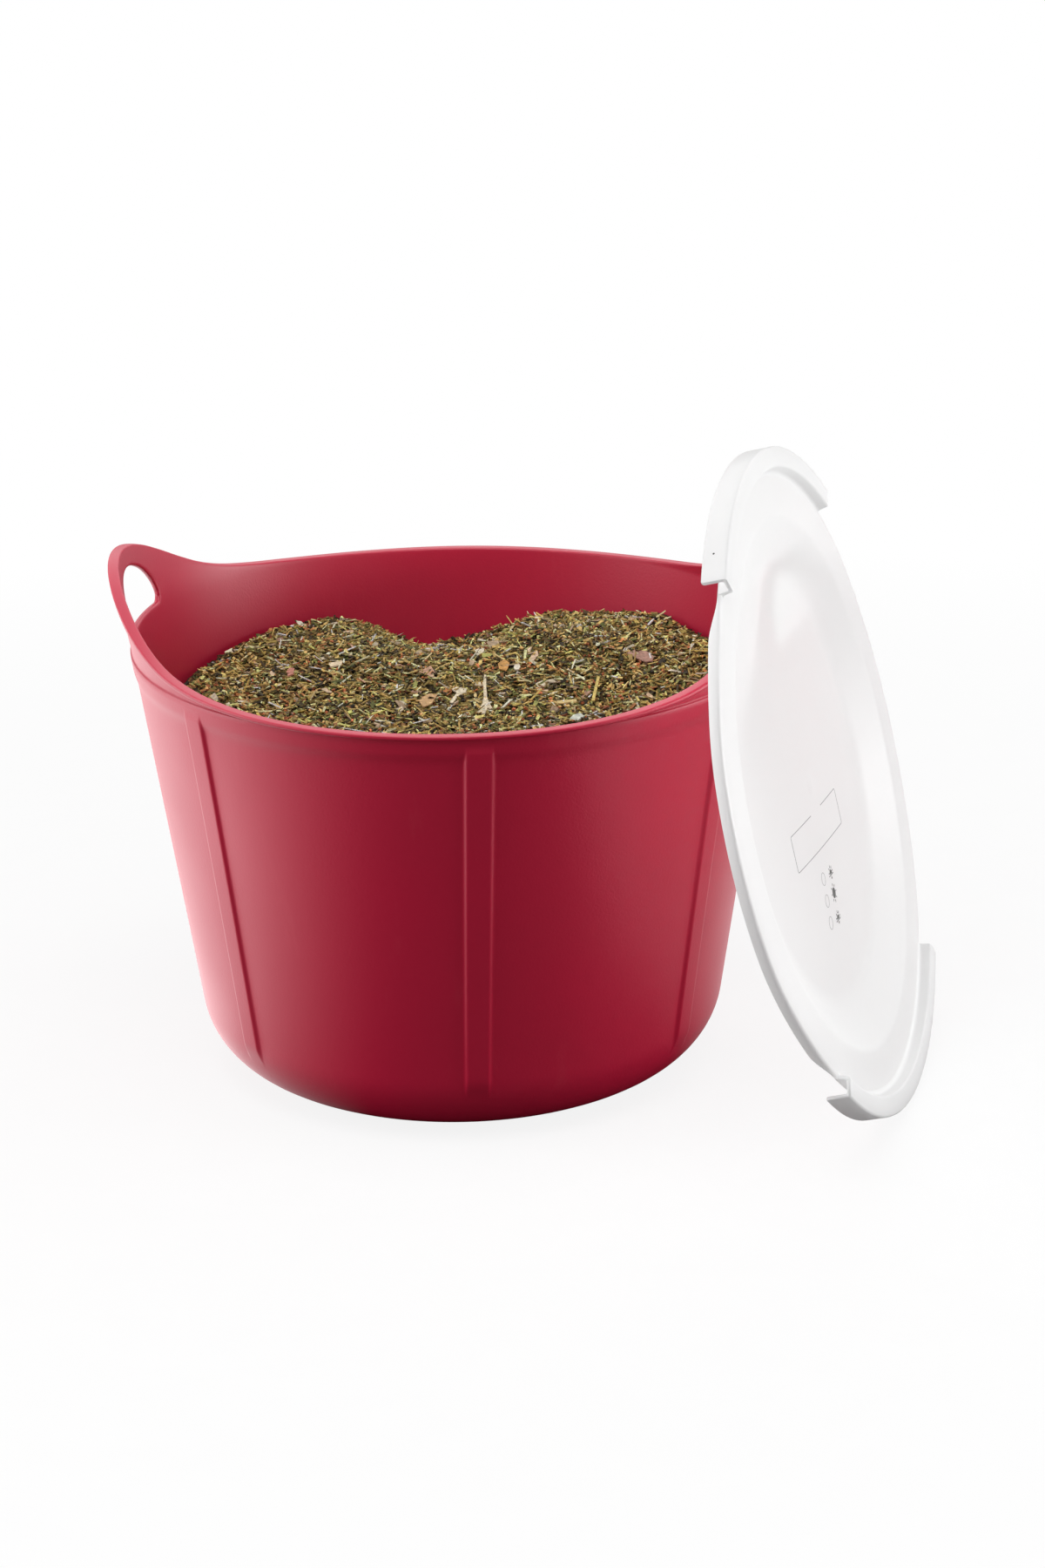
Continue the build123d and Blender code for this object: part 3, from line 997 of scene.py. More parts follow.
# The lid
@dataclass
class Lid:
    """Loose lid that leans on the bowl. Sizes in millimetres.

    In its own frame the land of the two skirted arcs is at h = 0, +Y is
    towards the upper arc and +X towards the far side.
    """

    bowl: Bowl
    radius: float = 152.0
    thickness: float = 1.6
    step_depth: float = 5.4
    edge_radius: float = 142.7
    edge_round: float = 1.5
    tongue_bottom: float = 10.6
    tongue_fade: Pair = (40.0, 49.0)

    # Dish
    dish_start: float = 90.0
    recess_edge: float = 121.5
    recess_foot: float = 99.0
    recess_depth: float = 15.9
    upper_rounds: Pair = (20.0, 7.0)
    lower_rounds: Pair = (5.4, 21.6)
    dome_rise: float = 2.4
    dome_rings: tuple[float, ...] = (1.2, 2.4, 3.6, 4.8, 6.0, 8.0, 14.0, 28.0, 42.0, 56.0, 68.0, 79.0)
    gate_rise: float = 0.5
    gate_fade: Pair = (1.5, 6.0)

    # Skirted arcs
    arc_half: float = 40.5
    arc_foot: float = 139.4
    land_inner: float = 142.6
    skirt_depth: float = 11.4
    skirt_round: float = 1.3
    skirt_start: float = -8.0
    arc_rounds: tuple[float, ...] = (2.2, 1.2, 1.1, 0.6, 0.4, 0.8, 0.8, 1.2)
    overlap: float = 0.1

    # Place and bow of the leaning lid, with angles in degrees
    azimuth: float = 16.45
    spin: float = 3.5
    shift: float = -10.8
    lean_gap: float = 0.45
    floor_gap: float = 0.1
    near_bow: float = 4.0
    far_bow: float = 1.5
    bow_fade: Pair = (40.0, 125.0)

    def place(self, flat: Array) -> Array:
        """Puts points of the lid's own frame at the leaning place.

        The lower skirt stands on the floor and the disc leans on the rim.
        The two free sides bow back a little: h falls by the bow times the
        squared share of X, faded out towards the arcs.

        Args:
            flat: Points (X, Y, h).

        Returns:
            Points in the row frame.
        """
        p = np.array(flat, float)
        x_share = np.clip(np.abs(p[:, 0]) / self.edge_radius, 0, 1)
        bow = np.where(p[:, 0] < 0, self.near_bow, self.far_bow)
        p[:, 2] -= bow * x_share**2 * (1 - smooth(*self.bow_fade, np.abs(p[:, 1])))
        azimuth, tilt, spin = (math.radians(v) for v in (self.azimuth, self.bowl.lid_tilt, self.spin))
        outward = np.array([math.cos(azimuth), -math.sin(azimuth), 0.0])
        side = np.array([math.sin(azimuth), math.cos(azimuth), 0.0])
        above = np.array([0.0, 0.0, 1.0])
        normal = outward * math.cos(tilt) + above * math.sin(tilt)
        up = above * math.cos(tilt) - outward * math.sin(tilt)
        height = self.radius * math.cos(tilt) + self.skirt_depth * math.sin(tilt) + self.floor_gap
        depth = self.recess_depth + self.thickness + self.lean_gap
        reach = self.bowl.rim_radius * math.cos(tilt) + self.bowl.rim_height * math.sin(tilt)
        distance = (reach + depth - height * math.sin(tilt)) / math.cos(tilt)
        centre = outward * distance + side * self.shift + above * height
        x_axis = side * math.cos(spin) - up * math.sin(spin)
        y_axis = up * math.cos(spin) + side * math.sin(spin)
        return centre + p[:, :1] * x_axis + p[:, 1:2] * y_axis + p[:, 2:] * normal

    def tongue(self, phi: Array) -> Array:
        """Share of the tongue's depth: full beside the free sides, 0 at the arcs."""
        return 1 - smooth(*self.tongue_fade, np.degrees(np.abs((phi + QUARTER) % math.pi - QUARTER)))

    def dish_height(self, radius: Array) -> Array:
        """Height of the dish: a shallow dome with the soft mark of the gate."""
        dome = self.dome_rise * (1 - (np.asarray(radius) / self.recess_foot) ** 2)
        return -self.recess_depth + dome + self.gate_rise * (1 - smooth(*self.gate_fade, radius))

    def on_dish(self, flat: Array) -> Array:
        """Height of the dish under points (X, Y)."""
        return self.dish_height(np.hypot(flat[:, 0], flat[:, 1]))

    def edge_rows(self, phi: Array) -> Rows:
        """Rounded edge of the disc and its tongue, from above to below.

        The tongue's lower end moves with the angle, and its corners are
        cut by some tenths of a millimetre.

        Args:
            phi: Angle of each column.

        Returns:
            Radius and height of each row.
        """
        t, step, edge, bend = self.thickness, self.step_depth, self.edge_radius, self.edge_round
        share = self.tongue(phi)
        end = -(step + t + 0.3) * (1 - share) - self.tongue_bottom * share
        rows = [(edge - bend + bend * math.sin(a), -step - bend + bend * math.cos(a))
                for a in np.linspace(0, QUARTER, 6)[1:]]
        outer, inner = ((0.0, 0.5), (0.3, 0.1), (0.6, 0.0)), ((0.3, 0.0), (0.0, 0.2))
        rows += [(edge - inset - 0.2 * share, end + rise) for inset, rise in outer]
        rows += [(edge - t + inset - 0.3 * share, end + rise) for inset, rise in inner]
        return rows + [(edge - t - 0.3, -step - t - 0.25)]

    def disc(self) -> Surface:
        """Closed disc: dome, sloped wall, annulus, rounded edge and tongue.

        The profile is turned about the lid's axis.

        Returns:
            Points in the lid's frame and the faces.
        """
        t, step, edge, start = self.thickness, self.step_depth, self.edge_radius, self.dish_start
        phi = circle(360)
        crown = float(self.dish_height(start))
        upper = [(start, crown), (self.recess_foot, -self.recess_depth),
                 (self.recess_edge, -step), (edge - 2.0, -step)]
        lower = [(edge - t - 1.5, -step - t), (self.recess_edge + 0.7, -step - t),
                 (self.recess_foot + 0.4, -self.recess_depth - t), (start, crown - t)]
        rows = [(r, self.dish_height(r)) for r in self.dome_rings]
        rows += list(rounded(upper, self.upper_rounds, 7))
        rows += self.edge_rows(phi)
        rows += list(rounded(lower, self.lower_rounds, 7))
        rows += [(r, self.dish_height(r) - t) for r in self.dome_rings[::-1]]
        peak = float(self.dish_height(0.0))
        points, faces = turned_shell(rows, phi, peak, peak - t)
        return points, [face[::-1] for face in faces]

    def arc(self, middle: float) -> Surface:
        """Skirted arc: step wall, land and skirt as one closed part ring.

        The section is carried round the lid's axis. Where it lies on the
        disc it stands proud by some hundredths of a millimetre, so that no
        faces coincide. Near both ends the skirt's lower edge rises along a
        quarter circle.

        Args:
            middle: Direction of the arc's middle, in degrees.

        Returns:
            Points in the lid's frame and the faces.
        """
        t = self.thickness + self.overlap
        foot, inner, outer, low, skirt = (
            self.arc_foot, self.land_inner, self.radius, -self.step_depth, -self.skirt_depth)
        outline = [
            (foot, low + 0.02), (inner - 1.4, low + 0.04), (inner, 0.0), (outer, 0.0), (outer, skirt),
            (outer - t, skirt), (outer - t, -t), (inner + t * 0.85, -t),
            (inner + 0.3, low - self.thickness + 0.05), (foot, low - self.thickness + 0.1),
        ]
        section = rounded(outline, self.arc_rounds, 4)
        half, bend = math.radians(self.arc_half), self.skirt_round
        fine = np.array([0.0, 0.12, 0.35, 0.75, bend]) / self.radius
        turn = np.concatenate([-half + fine, np.linspace(-half, half, 73)[1:-1], half - fine[::-1]])
        from_end = (half - np.abs(turn)) * self.radius
        lift = bend - np.sqrt(np.maximum(bend**2 - np.maximum(bend - from_end, 0) ** 2, 0))
        on_skirt = smooth(self.skirt_start, skirt, section[:, 1:]) * (section[:, :1] > outer - 4.0)
        radii, heights = section[:, :1] + 0 * turn, section[:, 1:] + on_skirt * lift
        points = turned(radii, math.radians(middle) + turn, heights)
        grid = np.arange(radii.size).reshape(radii.shape)
        ahead = np.roll(grid, -1, 0)
        quads = np.stack([grid[:, :-1], ahead[:, :-1], ahead[:, 1:], grid[:, 1:]], -1)
        ends = [grid[:, 0].tolist(), grid[::-1, -1].tolist()]
        return points, quads.reshape(-1, 4).tolist() + ends

    def build(self, plastic: bpy.types.Material) -> None:
        """Makes the disc in place of the lid's CAD node, and the two arcs.

        Args:
            plastic: The lid's finish.
        """
        parts = {"lid_disc": self.disc(), "lid_arc_upper": self.arc(90.0), "lid_arc_lower": self.arc(270.0)}
        pieces = [make_piece(name, (self.place(points), faces), plastic, "lid")
                  for name, (points, faces) in parts.items()]
        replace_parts(pieces[0], "lid")


class SunMark(Enum):
    """Which generic sun sign stands beside a tick circle."""

    RISING = "rising"
    FULL = "full"
    SETTING = "setting"


@dataclass
class LidPrint:
    """Generic print on the lid. Sizes in millimetres.

    On the dish: a bare name frame, three tick circles and three sun signs
    for the times of day. On the upper skirt: one small dark dot.
    """

    lid: Lid
    turn: float = 1.0
    rise: float = 0.06
    sink: float = 0.1
    frame_line: float = 0.42
    frame_round: float = 1.2
    frame_size: Pair = (86.0, 16.6)
    frame_middle: Pair = (-4.0, -20.1)
    frame_gap: Pair = (-7.0, 12.0)
    tick_line: float = 0.25
    tick_radius: float = 2.9
    tick_places: tuple[Pair, ...] = ((-13.2, -40.8), (-14.6, -50.7), (-16.0, -60.7))
    sign_places: tuple[Pair, ...] = ((0.7, -41.2), (-1.1, -51.0), (-2.8, -61.6))
    sun_radius: float = 2.5
    half_sun_radius: float = 1.9
    half_sun_drop: float = 1.2
    ray_reach: Pair = (0.7, 2.0)
    ray_half: Pair = (0.32, 0.1)
    horizon_half: Pair = (3.8, 0.2)
    horizon_drop: float = 0.5
    arrow: tuple[Pair, ...] = ((0.0, 0.7), (-0.9, -0.5), (0.9, -0.5))
    arrow_drop: float = 1.8
    dot_place: Pair = (124.7, -6.4)
    dot_radius: float = 0.5

    def name_frame(self) -> Array:
        """Rounded rectangle with a gap in its upper side.

        Returns:
            An open path with even steps.
        """
        w, h = self.frame_size[0] / 2, self.frame_size[1] / 2
        end, start = self.frame_gap
        corners = [(start, h), (w, h), (w, -h), (-w, -h), (-w, h), (end, h)]
        path = rounded(corners, [self.frame_round] * 4, 4)
        step = np.linalg.norm(np.diff(path, axis=0), axis=1)
        place = np.concatenate([[0], np.cumsum(step)])
        even = np.sort(np.concatenate([place, np.linspace(0, place[-1], 61)[1:-1]]))
        even = even[np.concatenate([[True], np.diff(even) > 0.05])]
        ring = np.stack([np.interp(even, place, path[:, k]) for k in range(2)], -1)
        c, s = math.cos(math.radians(-self.turn)), math.sin(math.radians(-self.turn))
        return ring @ np.array([[c, s], [-s, c]]) + np.array(self.frame_middle)

    def line(self, path: Array, width: float, closed: bool) -> Surface:
        """Printed line that follows the dish.

        The four corners of the line's section are carried along the path.

        Args:
            path: Points (X, Y) of the middle of the line.
            width: Width of the line.
            closed: Joins the last point to the first.

        Returns:
            Points in the lid's frame and the faces.
        """
        along = np.roll(path, -1, 0) - np.roll(path, 1, 0)
        if not closed:
            along[0], along[-1] = path[1] - path[0], path[-1] - path[-2]
        across = np.stack([along[:, 1], -along[:, 0]], -1)
        across /= np.linalg.norm(across, axis=1)[:, None]
        rings = []
        for side, rise in ((0.5, self.rise), (0.5, -self.sink), (-0.5, -self.sink), (-0.5, self.rise)):
            p = path + across * width * side
            rings.append(np.column_stack([p, self.lid.on_dish(p) + rise]))
        points = np.stack(rings, 1).reshape(-1, 3)
        grid = np.arange(len(points)).reshape(-1, 4)
        ahead = np.roll(grid, -1, 0)
        quads = np.stack([grid, np.roll(grid, -1, 1), np.roll(ahead, -1, 1), ahead], -1)
        if closed:
            return points, quads.reshape(-1, 4).tolist()
        return points, quads[:-1].reshape(-1, 4).tolist() + [grid[0, ::-1].tolist(), grid[-1].tolist()]

    def sign(self, mark: SunMark, middle: Pair) -> list[Array]:
        """Outlines of one sun sign.

        The full sun is a disc with eight rays. The others are half a disc
        with five rays over a line, and an arrow head that points up or down.

        Args:
            mark: Which sign.
            middle: Its place on the dish.

        Returns:
            Closed outlines, each of them filled with ink.
        """
        if mark is SunMark.FULL:
            size, centre = self.sun_radius, np.array(middle)
            sweep, rays = circle(24), circle(8)
        else:
            size, centre = self.half_sun_radius, np.array(middle) - (0.0, self.half_sun_drop)
            sweep, rays = np.linspace(0, math.pi, 15), np.linspace(0.08, 0.92, 5) * math.pi
        shapes = [centre + size * heading(sweep)]
        inner, outer = (size + reach for reach in self.ray_reach)
        wide, narrow = self.ray_half
        ray = np.array([(inner, -wide), (outer, -narrow), (outer, narrow), (inner, wide)])
        for a in rays:
            shapes.append(centre + ray @ np.array([(math.cos(a), math.sin(a)), (-math.sin(a), math.cos(a))]))
        if mark is not SunMark.FULL:
            tip = 1 if mark is SunMark.RISING else -1
            line = SQUARE * self.horizon_half - (0.0, self.horizon_drop)
            arrow = np.array(self.arrow) * (1, tip) - (0.0, self.arrow_drop)
            shapes += [centre + line, centre + arrow[::tip]]
        return shapes

    def filled(self, outline: Array) -> Surface:
        """Thin plate of ink on the dish, from a closed outline (X, Y)."""
        return slab(outline, self.lid.on_dish(outline), self.rise, -self.sink)

    def skirt_dot(self) -> Surface:
        """Small dark dot on the outer wall of the upper skirt.

        Returns:
            Points in the lid's frame and the faces.
        """
        sweep, radius = circle(12), self.lid.radius
        angle = math.radians(self.dot_place[0]) + self.dot_radius / radius * np.cos(sweep)
        height = self.dot_place[1] + self.dot_radius * np.sin(sweep)
        return plate(turned(radius + 0.05, angle, height), turned(radius - self.sink, angle, height))

    def build(self, dark: bpy.types.Material, pale: bpy.types.Material) -> None:
        """Makes the frame, the circles, the signs and the dot.

        Args:
            dark: Ink of the signs and the dot.
            pale: Ink of the lines.
        """
        ring = self.tick_radius * heading(circle(36))
        circles = [self.line(ring + place, self.tick_line, True) for place in self.tick_places]
        signs = [shape for mark, place in zip(SunMark, self.sign_places) for shape in self.sign(mark, place)]
        prints = {
            "print_name_frame": ([self.line(self.name_frame(), self.frame_line, False)], pale),
            "print_tick_circles": (circles, pale),
            "print_sun_signs": ([self.filled(shape) for shape in signs], dark),
            "print_skirt_dot": ([self.skirt_dot()], dark),
        }
        for name, (parts, ink) in prints.items():
            points, faces = joined(parts)
            make_piece(name, (self.lid.place(points), faces), ink, "lid", flat=True)


# The feed
@dataclass(frozen=True)
class Cut:
    """One cut of loose pieces. Sizes in millimetres.

    Attributes:
        count: How many are strewn.
        shortest: Shortest length.
        longest: Longest length.
        width: Middle width.
        thickness: Middle thickness.
        gain: Middle and spread of the brightness, as powers of e.
        tints: Screen colours to draw from.
    """

    count: int
    shortest: float
    longest: float
    width: float
    thickness: float
    gain: Pair
    tints: tuple[Colour, ...]


class Chaff(Enum):
    """Kinds of loose pieces."""

    LEAF = Cut(14000, 2.4, 6.5, 1.7, 0.35, (0.46, 0.46), (
        (132, 114, 60), (96, 82, 40), (172, 146, 88), (64, 52, 28), (198, 166, 104), (112, 112, 62),
        (146, 98, 58), (82, 84, 44), (48, 38, 22)))
    STEM = Cut(4200, 4.0, 14.0, 0.7, 0.55, (0.46, 0.46), (
        (202, 172, 104), (152, 126, 70), (230, 204, 142), (110, 94, 50), (170, 148, 84), (244, 222, 168)))
    CRUMB = Cut(15000, 1.2, 2.8, 1.25, 0.8, (0.46, 0.46), (
        (92, 74, 40), (134, 108, 62), (178, 142, 88), (58, 46, 28), (212, 178, 120), (120, 110, 62),
        (152, 88, 56), (40, 32, 20)))
    FLAKE = Cut(420, 3.5, 8.0, 3.6, 0.5, (-0.2, 0.25), (
        (236, 208, 174), (222, 192, 158), (244, 226, 194), (214, 170, 142), (232, 218, 188)))


@dataclass(frozen=True)
class PickedPiece:
    """Loose piece that stands out in the photograph.

    Attributes:
        outline: Its corners (x, y) on the feed, in millimetres.
        colour: Its screen colour.
    """

    outline: tuple[Pair, ...]
    colour: Colour


PICKED_PIECES = (
    # Pale forked stalk
    PickedPiece((
        (13.0, 20.4), (12.6, 12.0), (8.9, 12.6), (8.8, 9.6), (12.6, 8.0), (12.9, -6.0), (12.3, -14.0),
        (9.6, -24.1), (13.5, -27.0), (14.6, -19.5), (16.9, -20.4), (14.6, -9.0), (14.0, 5.3), (13.9, 20.0),
    ), (238, 222, 190)),
    # Large pinkish flake
    PickedPiece((
        (80.3, 32.8), (84.5, 29.0), (89.1, 26.8), (92.0, 28.6), (93.0, 33.5), (89.5, 38.5), (84.0, 37.0),
    ), (188, 148, 130)),
    # Tan leaf
    PickedPiece(((-17.4, -4.0), (-15.0, -14.0), (-11.0, -10.0), (-8.6, 1.5), (-12.5, 3.0)), (212, 172, 124)),
    # Pale bent husk
    PickedPiece((
        (-2.8, -9.0), (-1.4, -11.0), (1.0, -2.0), (4.6, 2.0),
        (5.0, 6.0), (0.0, 9.0), (-2.0, 7.0), (0.4, 2.0),
    ), (240, 226, 196)),
    # Two pale grains
    PickedPiece((
        (26.8, 24.2), (27.6, 21.5), (29.3, 21.5), (30.0, 24.5), (29.2, 27.0), (27.5, 27.0),
    ), (246, 236, 214)),
    PickedPiece((
        (8.6, 50.0), (10.0, 46.5), (12.6, 50.0), (13.0, 55.5), (10.6, 58.5), (8.8, 56.0),
    ), (246, 234, 206)),
    # Orange-brown leaf
    PickedPiece(((19.4, 31.0), (20.0, 25.0), (23.6, 22.0), (25.0, 29.0), (22.6, 35.0)), (214, 160, 92)),
    # Two yellow straw ends
    PickedPiece(((46.4, -17.4), (55.6, -15.6), (55.4, -13.2), (46.6, -14.2)), (232, 206, 142)),
    PickedPiece(((62.4, -14.0), (63.8, -14.6), (66.8, 8.4), (65.6, 9.0)), (226, 202, 120)),
    # Grey-green flake
    PickedPiece((
        (52.0, -34.5), (55.5, -37.0), (58.6, -31.5), (57.0, -28.0), (53.6, -30.5),
    ), (214, 218, 204)),
    # Reddish flake
    PickedPiece((
        (-80.4, 33.0), (-79.4, 28.0), (-76.8, 29.0), (-76.6, 35.0), (-79.0, 37.0),
    ), (206, 142, 124)),
    # Two cream flakes
    PickedPiece(((-60.4, 36.0), (-59.6, 32.4), (-54.4, 34.0), (-54.0, 38.0)), (240, 218, 184)),
    PickedPiece(((34.8, 31.0), (36.0, 27.5), (38.6, 33.0), (38.2, 38.0), (35.6, 37.0)), (228, 196, 164)),
)


@dataclass
class Feed:
    """Feed mix: a bed with heaps, covered in loose chopped pieces.

    Sizes in millimetres. The bed's height blends a middle with heaps, each
    (x, y, rise, reach), into the line where the feed meets the wall. Its
    bumps are lattice noise, each (rise, cell, seed), and its mottle of dark
    and light is (cell, seed). What is strewn varies by the shares, the skew
    and the bend of its size, and by the tip and the roll in radians.
    """

    bowl: Bowl
    gap: float = 0.45
    seed: int = 11
    wall_azimuth: tuple[float, ...] = (
        -30, 0, 20, 33, 38, 45, 58, 70, 79, 88, 97, 104, 109.5,
        117, 125, 133, 143, 152, 162, 175, 190, 215, 270, 310, 330)
    wall_height: tuple[float, ...] = (
        166, 172, 176, 179, 179, 182, 177, 174, 167, 160, 155, 162, 169,
        175, 175, 175, 172, 169, 167, 163, 160, 158, 158, 162, 166)
    wall_radius: float = 139.4
    middle: float = 167.0
    heaps: tuple[tuple[float, ...], ...] = (
        (-62.0, 66.0, 13.0, 36.0), (66.0, 62.0, 18.0, 44.0),
        (-5.0, 108.0, -9.0, 26.0), (10.0, -40.0, 3.0, 50.0))
    bed_rings: Triple = (10.0, 40.0, 70.0)
    bed_rows: Triple = (70.0, 110.0, 140.0)
    bed_radius: float = 138.2
    bed_sink: float = 2.2
    bumps: tuple[tuple[float, float, int], ...] = ((1.3, 9.0, 3), (0.8, 3.6, 5))
    mottle: tuple[float, int] = (2.2, 9)
    bed_dark: Colour = (34, 26, 14)
    bed_light: Colour = (104, 86, 48)
    strewn_radius: float = 136.5
    strewn_limit: float = 137.0
    strewn_depth: Pair = (-2.0, 0.6)
    picked_rise: Pair = (1.2, 0.6)
    length_draw: Pair = (1.4, 3.0)
    width_share: Pair = (0.55, 1.35)
    flake_share: Pair = (0.5, 0.95)
    thickness_share: Pair = (0.6, 1.3)
    taper: Pair = (0.35, 1.1)
    skew: float = 0.12
    bend: float = 0.07
    tip: float = 0.30
    tip_lift: float = 0.10
    roll: float = 0.45
    clearance: float = 0.3
    brightest: float = 0.92

    def height(self, x: Array, y: Array) -> Array:
        """Height of the bed.

        Middle plus round heaps, blended by the radius into the wall line.

        Args:
            x: Places across.
            y: Places along.

        Returns:
            The heights.
        """
        angle = (np.degrees(np.arctan2(y, x)) + 30.0) % 360.0 - 30.0
        at_wall = np.interp(angle, self.wall_azimuth, self.wall_height)
        level = self.middle + 0 * angle
        for heap_x, heap_y, rise, reach in self.heaps:
            level = level + rise * np.exp(-((x - heap_x) ** 2 + (y - heap_y) ** 2) / (2 * reach**2))
        share = smooth(0.5, 1.0, np.hypot(x, y) / self.wall_radius)
        return level * (1 - share) + at_wall * share

    def limit(self, z: Array) -> Array:
        """Largest radius of the feed at the height z."""
        return self.bowl.cone(z) - self.bowl.wall - self.gap

    def bed(self, chaff: bpy.types.Material) -> None:
        """Makes the closed bed that fills the bowl up to the bumpy top.

        Args:
            chaff: The feed's finish.
        """
        phi = circle(240)
        floor = self.bowl.floor + self.gap
        arc = self.bowl.corner_arc(self.bowl.inner_corner - self.gap, floor, self.bowl.wall + self.gap, 8)
        rows: Rows = [(r, floor) for r in self.bed_rings]
        rows += list(arc)
        rows += [(self.limit(z), z) for z in self.bed_rows]
        for share in np.concatenate([[1.0], np.linspace(0.985, 0.04, 62)]):
            x, y = share * self.bed_radius * np.cos(phi), share * self.bed_radius * np.sin(phi)
            z = self.height(x, y)
            bumps = sum(rise * lattice_noise(x, y, cell, seed) for rise, cell, seed in self.bumps)
            rows.append((share * self.limit(z), z - self.bed_sink + bumps))
        surface = turned_shell(rows, phi, floor, float(rows[-1][1].mean()))
        piece = make_piece("feed_bed", surface, chaff, "bowl")
        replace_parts(piece, "feed_mix")
        across, along, _ = surface[0].T
        shade = 0.5 + 0.5 * lattice_noise(across, along, *self.mottle)
        dark, light = np.array(linear(self.bed_dark)), np.array(linear(self.bed_light))
        self.paint(piece, dark + (light - dark) * shade[:, None])

    @staticmethod
    def paint(piece: bpy.types.Object, colours: Array) -> None:
        """Writes one colour per vertex into the tint attribute."""
        layer = piece.data.color_attributes.new("tint", "FLOAT_COLOR", "POINT")
        layer.data.foreach_set("color", np.asarray(colours, np.float32).ravel())

    @staticmethod
    def swung(points: Array, angle: Array, first: int, second: int) -> Array:
        """Turns every loose piece from one axis towards another.

        Args:
            points: Corners by piece.
            angle: Angle of each piece, in radians.
            first: Number of the one axis.
            second: Number of the other axis.

        Returns:
            The turned corners: a cos - b sin on the first axis, and
            a sin + b cos on the second.
        """
        c, s = np.cos(angle)[:, None], np.sin(angle)[:, None]
        a, b = points[..., first], points[..., second]
        out = points.copy()
        out[..., first], out[..., second] = a * c - b * s, a * s + b * c
        return out

    def strew(self, kind: Chaff, chaff: bpy.types.Material) -> None:
        """Strews one kind of loose piece over the bed.

        Each piece is a box with moved corners: its eight corners are scaled
        to length, width and thickness, rolled, tipped, spun, and put on the
        bed's height.

        Args:
            kind: Which pieces.
            chaff: Their finish.
        """
        cut = kind.value
        count = cut.count
        rng = np.random.default_rng(self.seed + len(kind.name))
        radius = self.strewn_radius * np.sqrt(rng.uniform(0.0, 1.0, count))
        phi = rng.uniform(0, FULL_TURN, count)
        length = cut.shortest + (cut.longest - cut.shortest) * rng.beta(*self.length_draw, count)
        radius = np.minimum(radius, self.strewn_limit - length / 2)
        x, y = radius * np.cos(phi), radius * np.sin(phi)
        wide = cut.width * rng.uniform(*self.width_share, count)
        if kind is Chaff.FLAKE:
            wide = length * rng.uniform(*self.flake_share, count)
        high = cut.thickness * rng.uniform(*self.thickness_share, count)
        box = np.vstack([np.column_stack([SQUARE, np.full(4, side)]) for side in (-1, 1)]) / 2.0
        ahead, behind = box[:, 0] > 0, box[:, 0] < 0
        corner = box[None] * np.stack([length, wide, high], -1)[:, None]
        taper = rng.uniform(*self.taper, (count, 2))
        corner[:, ahead, 1] *= taper[:, :1]
        corner[:, behind, 1] *= taper[:, 1:]
        corner[..., 0] += rng.uniform(-self.skew, self.skew, (count, 8)) * length[:, None]
        corner[:, behind, 2] += (rng.normal(0, self.bend, count) * length)[:, None]
        spin = rng.uniform(0, FULL_TURN, count)
        tip = rng.normal(0, self.tip, count)
        roll = rng.normal(0, self.roll, count)
        p = self.swung(self.swung(self.swung(corner, roll, 1, 2), tip, 2, 0), spin, 0, 1)
        depth = rng.uniform(*self.strewn_depth, count) + self.tip_lift * length * np.abs(np.sin(tip))
        points = (p + np.stack([x, y, self.height(x, y) + depth], -1)[:, None]).reshape(-1, 3)
        spread = np.hypot(points[:, 0], points[:, 1])
        points[:, :2] *= np.minimum(1.0, (self.limit(points[:, 2]) - self.clearance) / spread)[:, None]
        sides = np.array([
            (0, 3, 2, 1), (4, 5, 6, 7), (0, 1, 5, 4), (1, 2, 6, 5), (2, 3, 7, 6), (3, 0, 4, 7)])
        faces = (sides[None] + 8 * np.arange(count)[:, None, None]).reshape(-1, 4).tolist()
        name = f"feed_{kind.name.lower()}"
        piece = make_piece(name, (points, faces), chaff, "bowl", flat=True, mend=False)
        tint = np.array([linear(c) for c in cut.tints])[rng.integers(0, len(cut.tints), count)]
        gain = np.exp(rng.normal(*cut.gain, count))
        tint[:, :3] = np.clip(tint[:, :3] * gain[:, None], 0.0, self.brightest)
        self.paint(piece, np.repeat(tint, 8, 0))

    def pick(self, chaff: bpy.types.Material) -> None:
        """Lays the pieces that stand out in the photograph.

        Args:
            chaff: Their finish.
        """
        parts, tints = [], []
        for picked in PICKED_PIECES:
            shape = np.array(picked.outline)
            parts.append(slab(shape, self.height(shape[:, 0], shape[:, 1]), *self.picked_rise))
            tints.append(np.repeat([linear(picked.colour)], 2 * len(shape), 0))
        piece = make_piece("feed_picked", joined(parts), chaff, "bowl", flat=True)
        self.paint(piece, np.vstack(tints))

    def build(self, chaff: bpy.types.Material) -> None:
        """Makes the bed, strews every kind of piece and lays the picked ones.

        Args:
            chaff: The feed's finish.
        """
        self.bed(chaff)
        for kind in Chaff:
            self.strew(kind, chaff)
        self.pick(chaff)


# The studio
@dataclass
class Lamp:
    """Soft rectangular lamp that is aimed at a point.

    Attributes:
        name: Its name.
        place: Where it hangs, in metres.
        aim: The point that it is turned to.
        size: Width and height, in metres.
        power: Its power, in watts.
        fill: Makes it a fill lamp, which gives no highlights.
    """

    name: str
    place: Triple
    aim: Triple
    size: Pair
    power: float
    fill: bool = False

    def build(self) -> None:
        """Adds the lamp to the scene."""
        light = bpy.data.lights.new(self.name, "AREA")
        light.shape = "RECTANGLE"
        light.size, light.size_y = self.size
        light.energy = self.power
        lamp = add_object(self.name, light)
        lamp.visible_glossy = not self.fill
        back = np.array(self.place) - np.array(self.aim)
        back /= np.linalg.norm(back)
        right = np.cross([0.0, 0.0, 1.0], back)
        right /= np.linalg.norm(right)
        stand(lamp, right, np.cross(back, right), back, self.place)


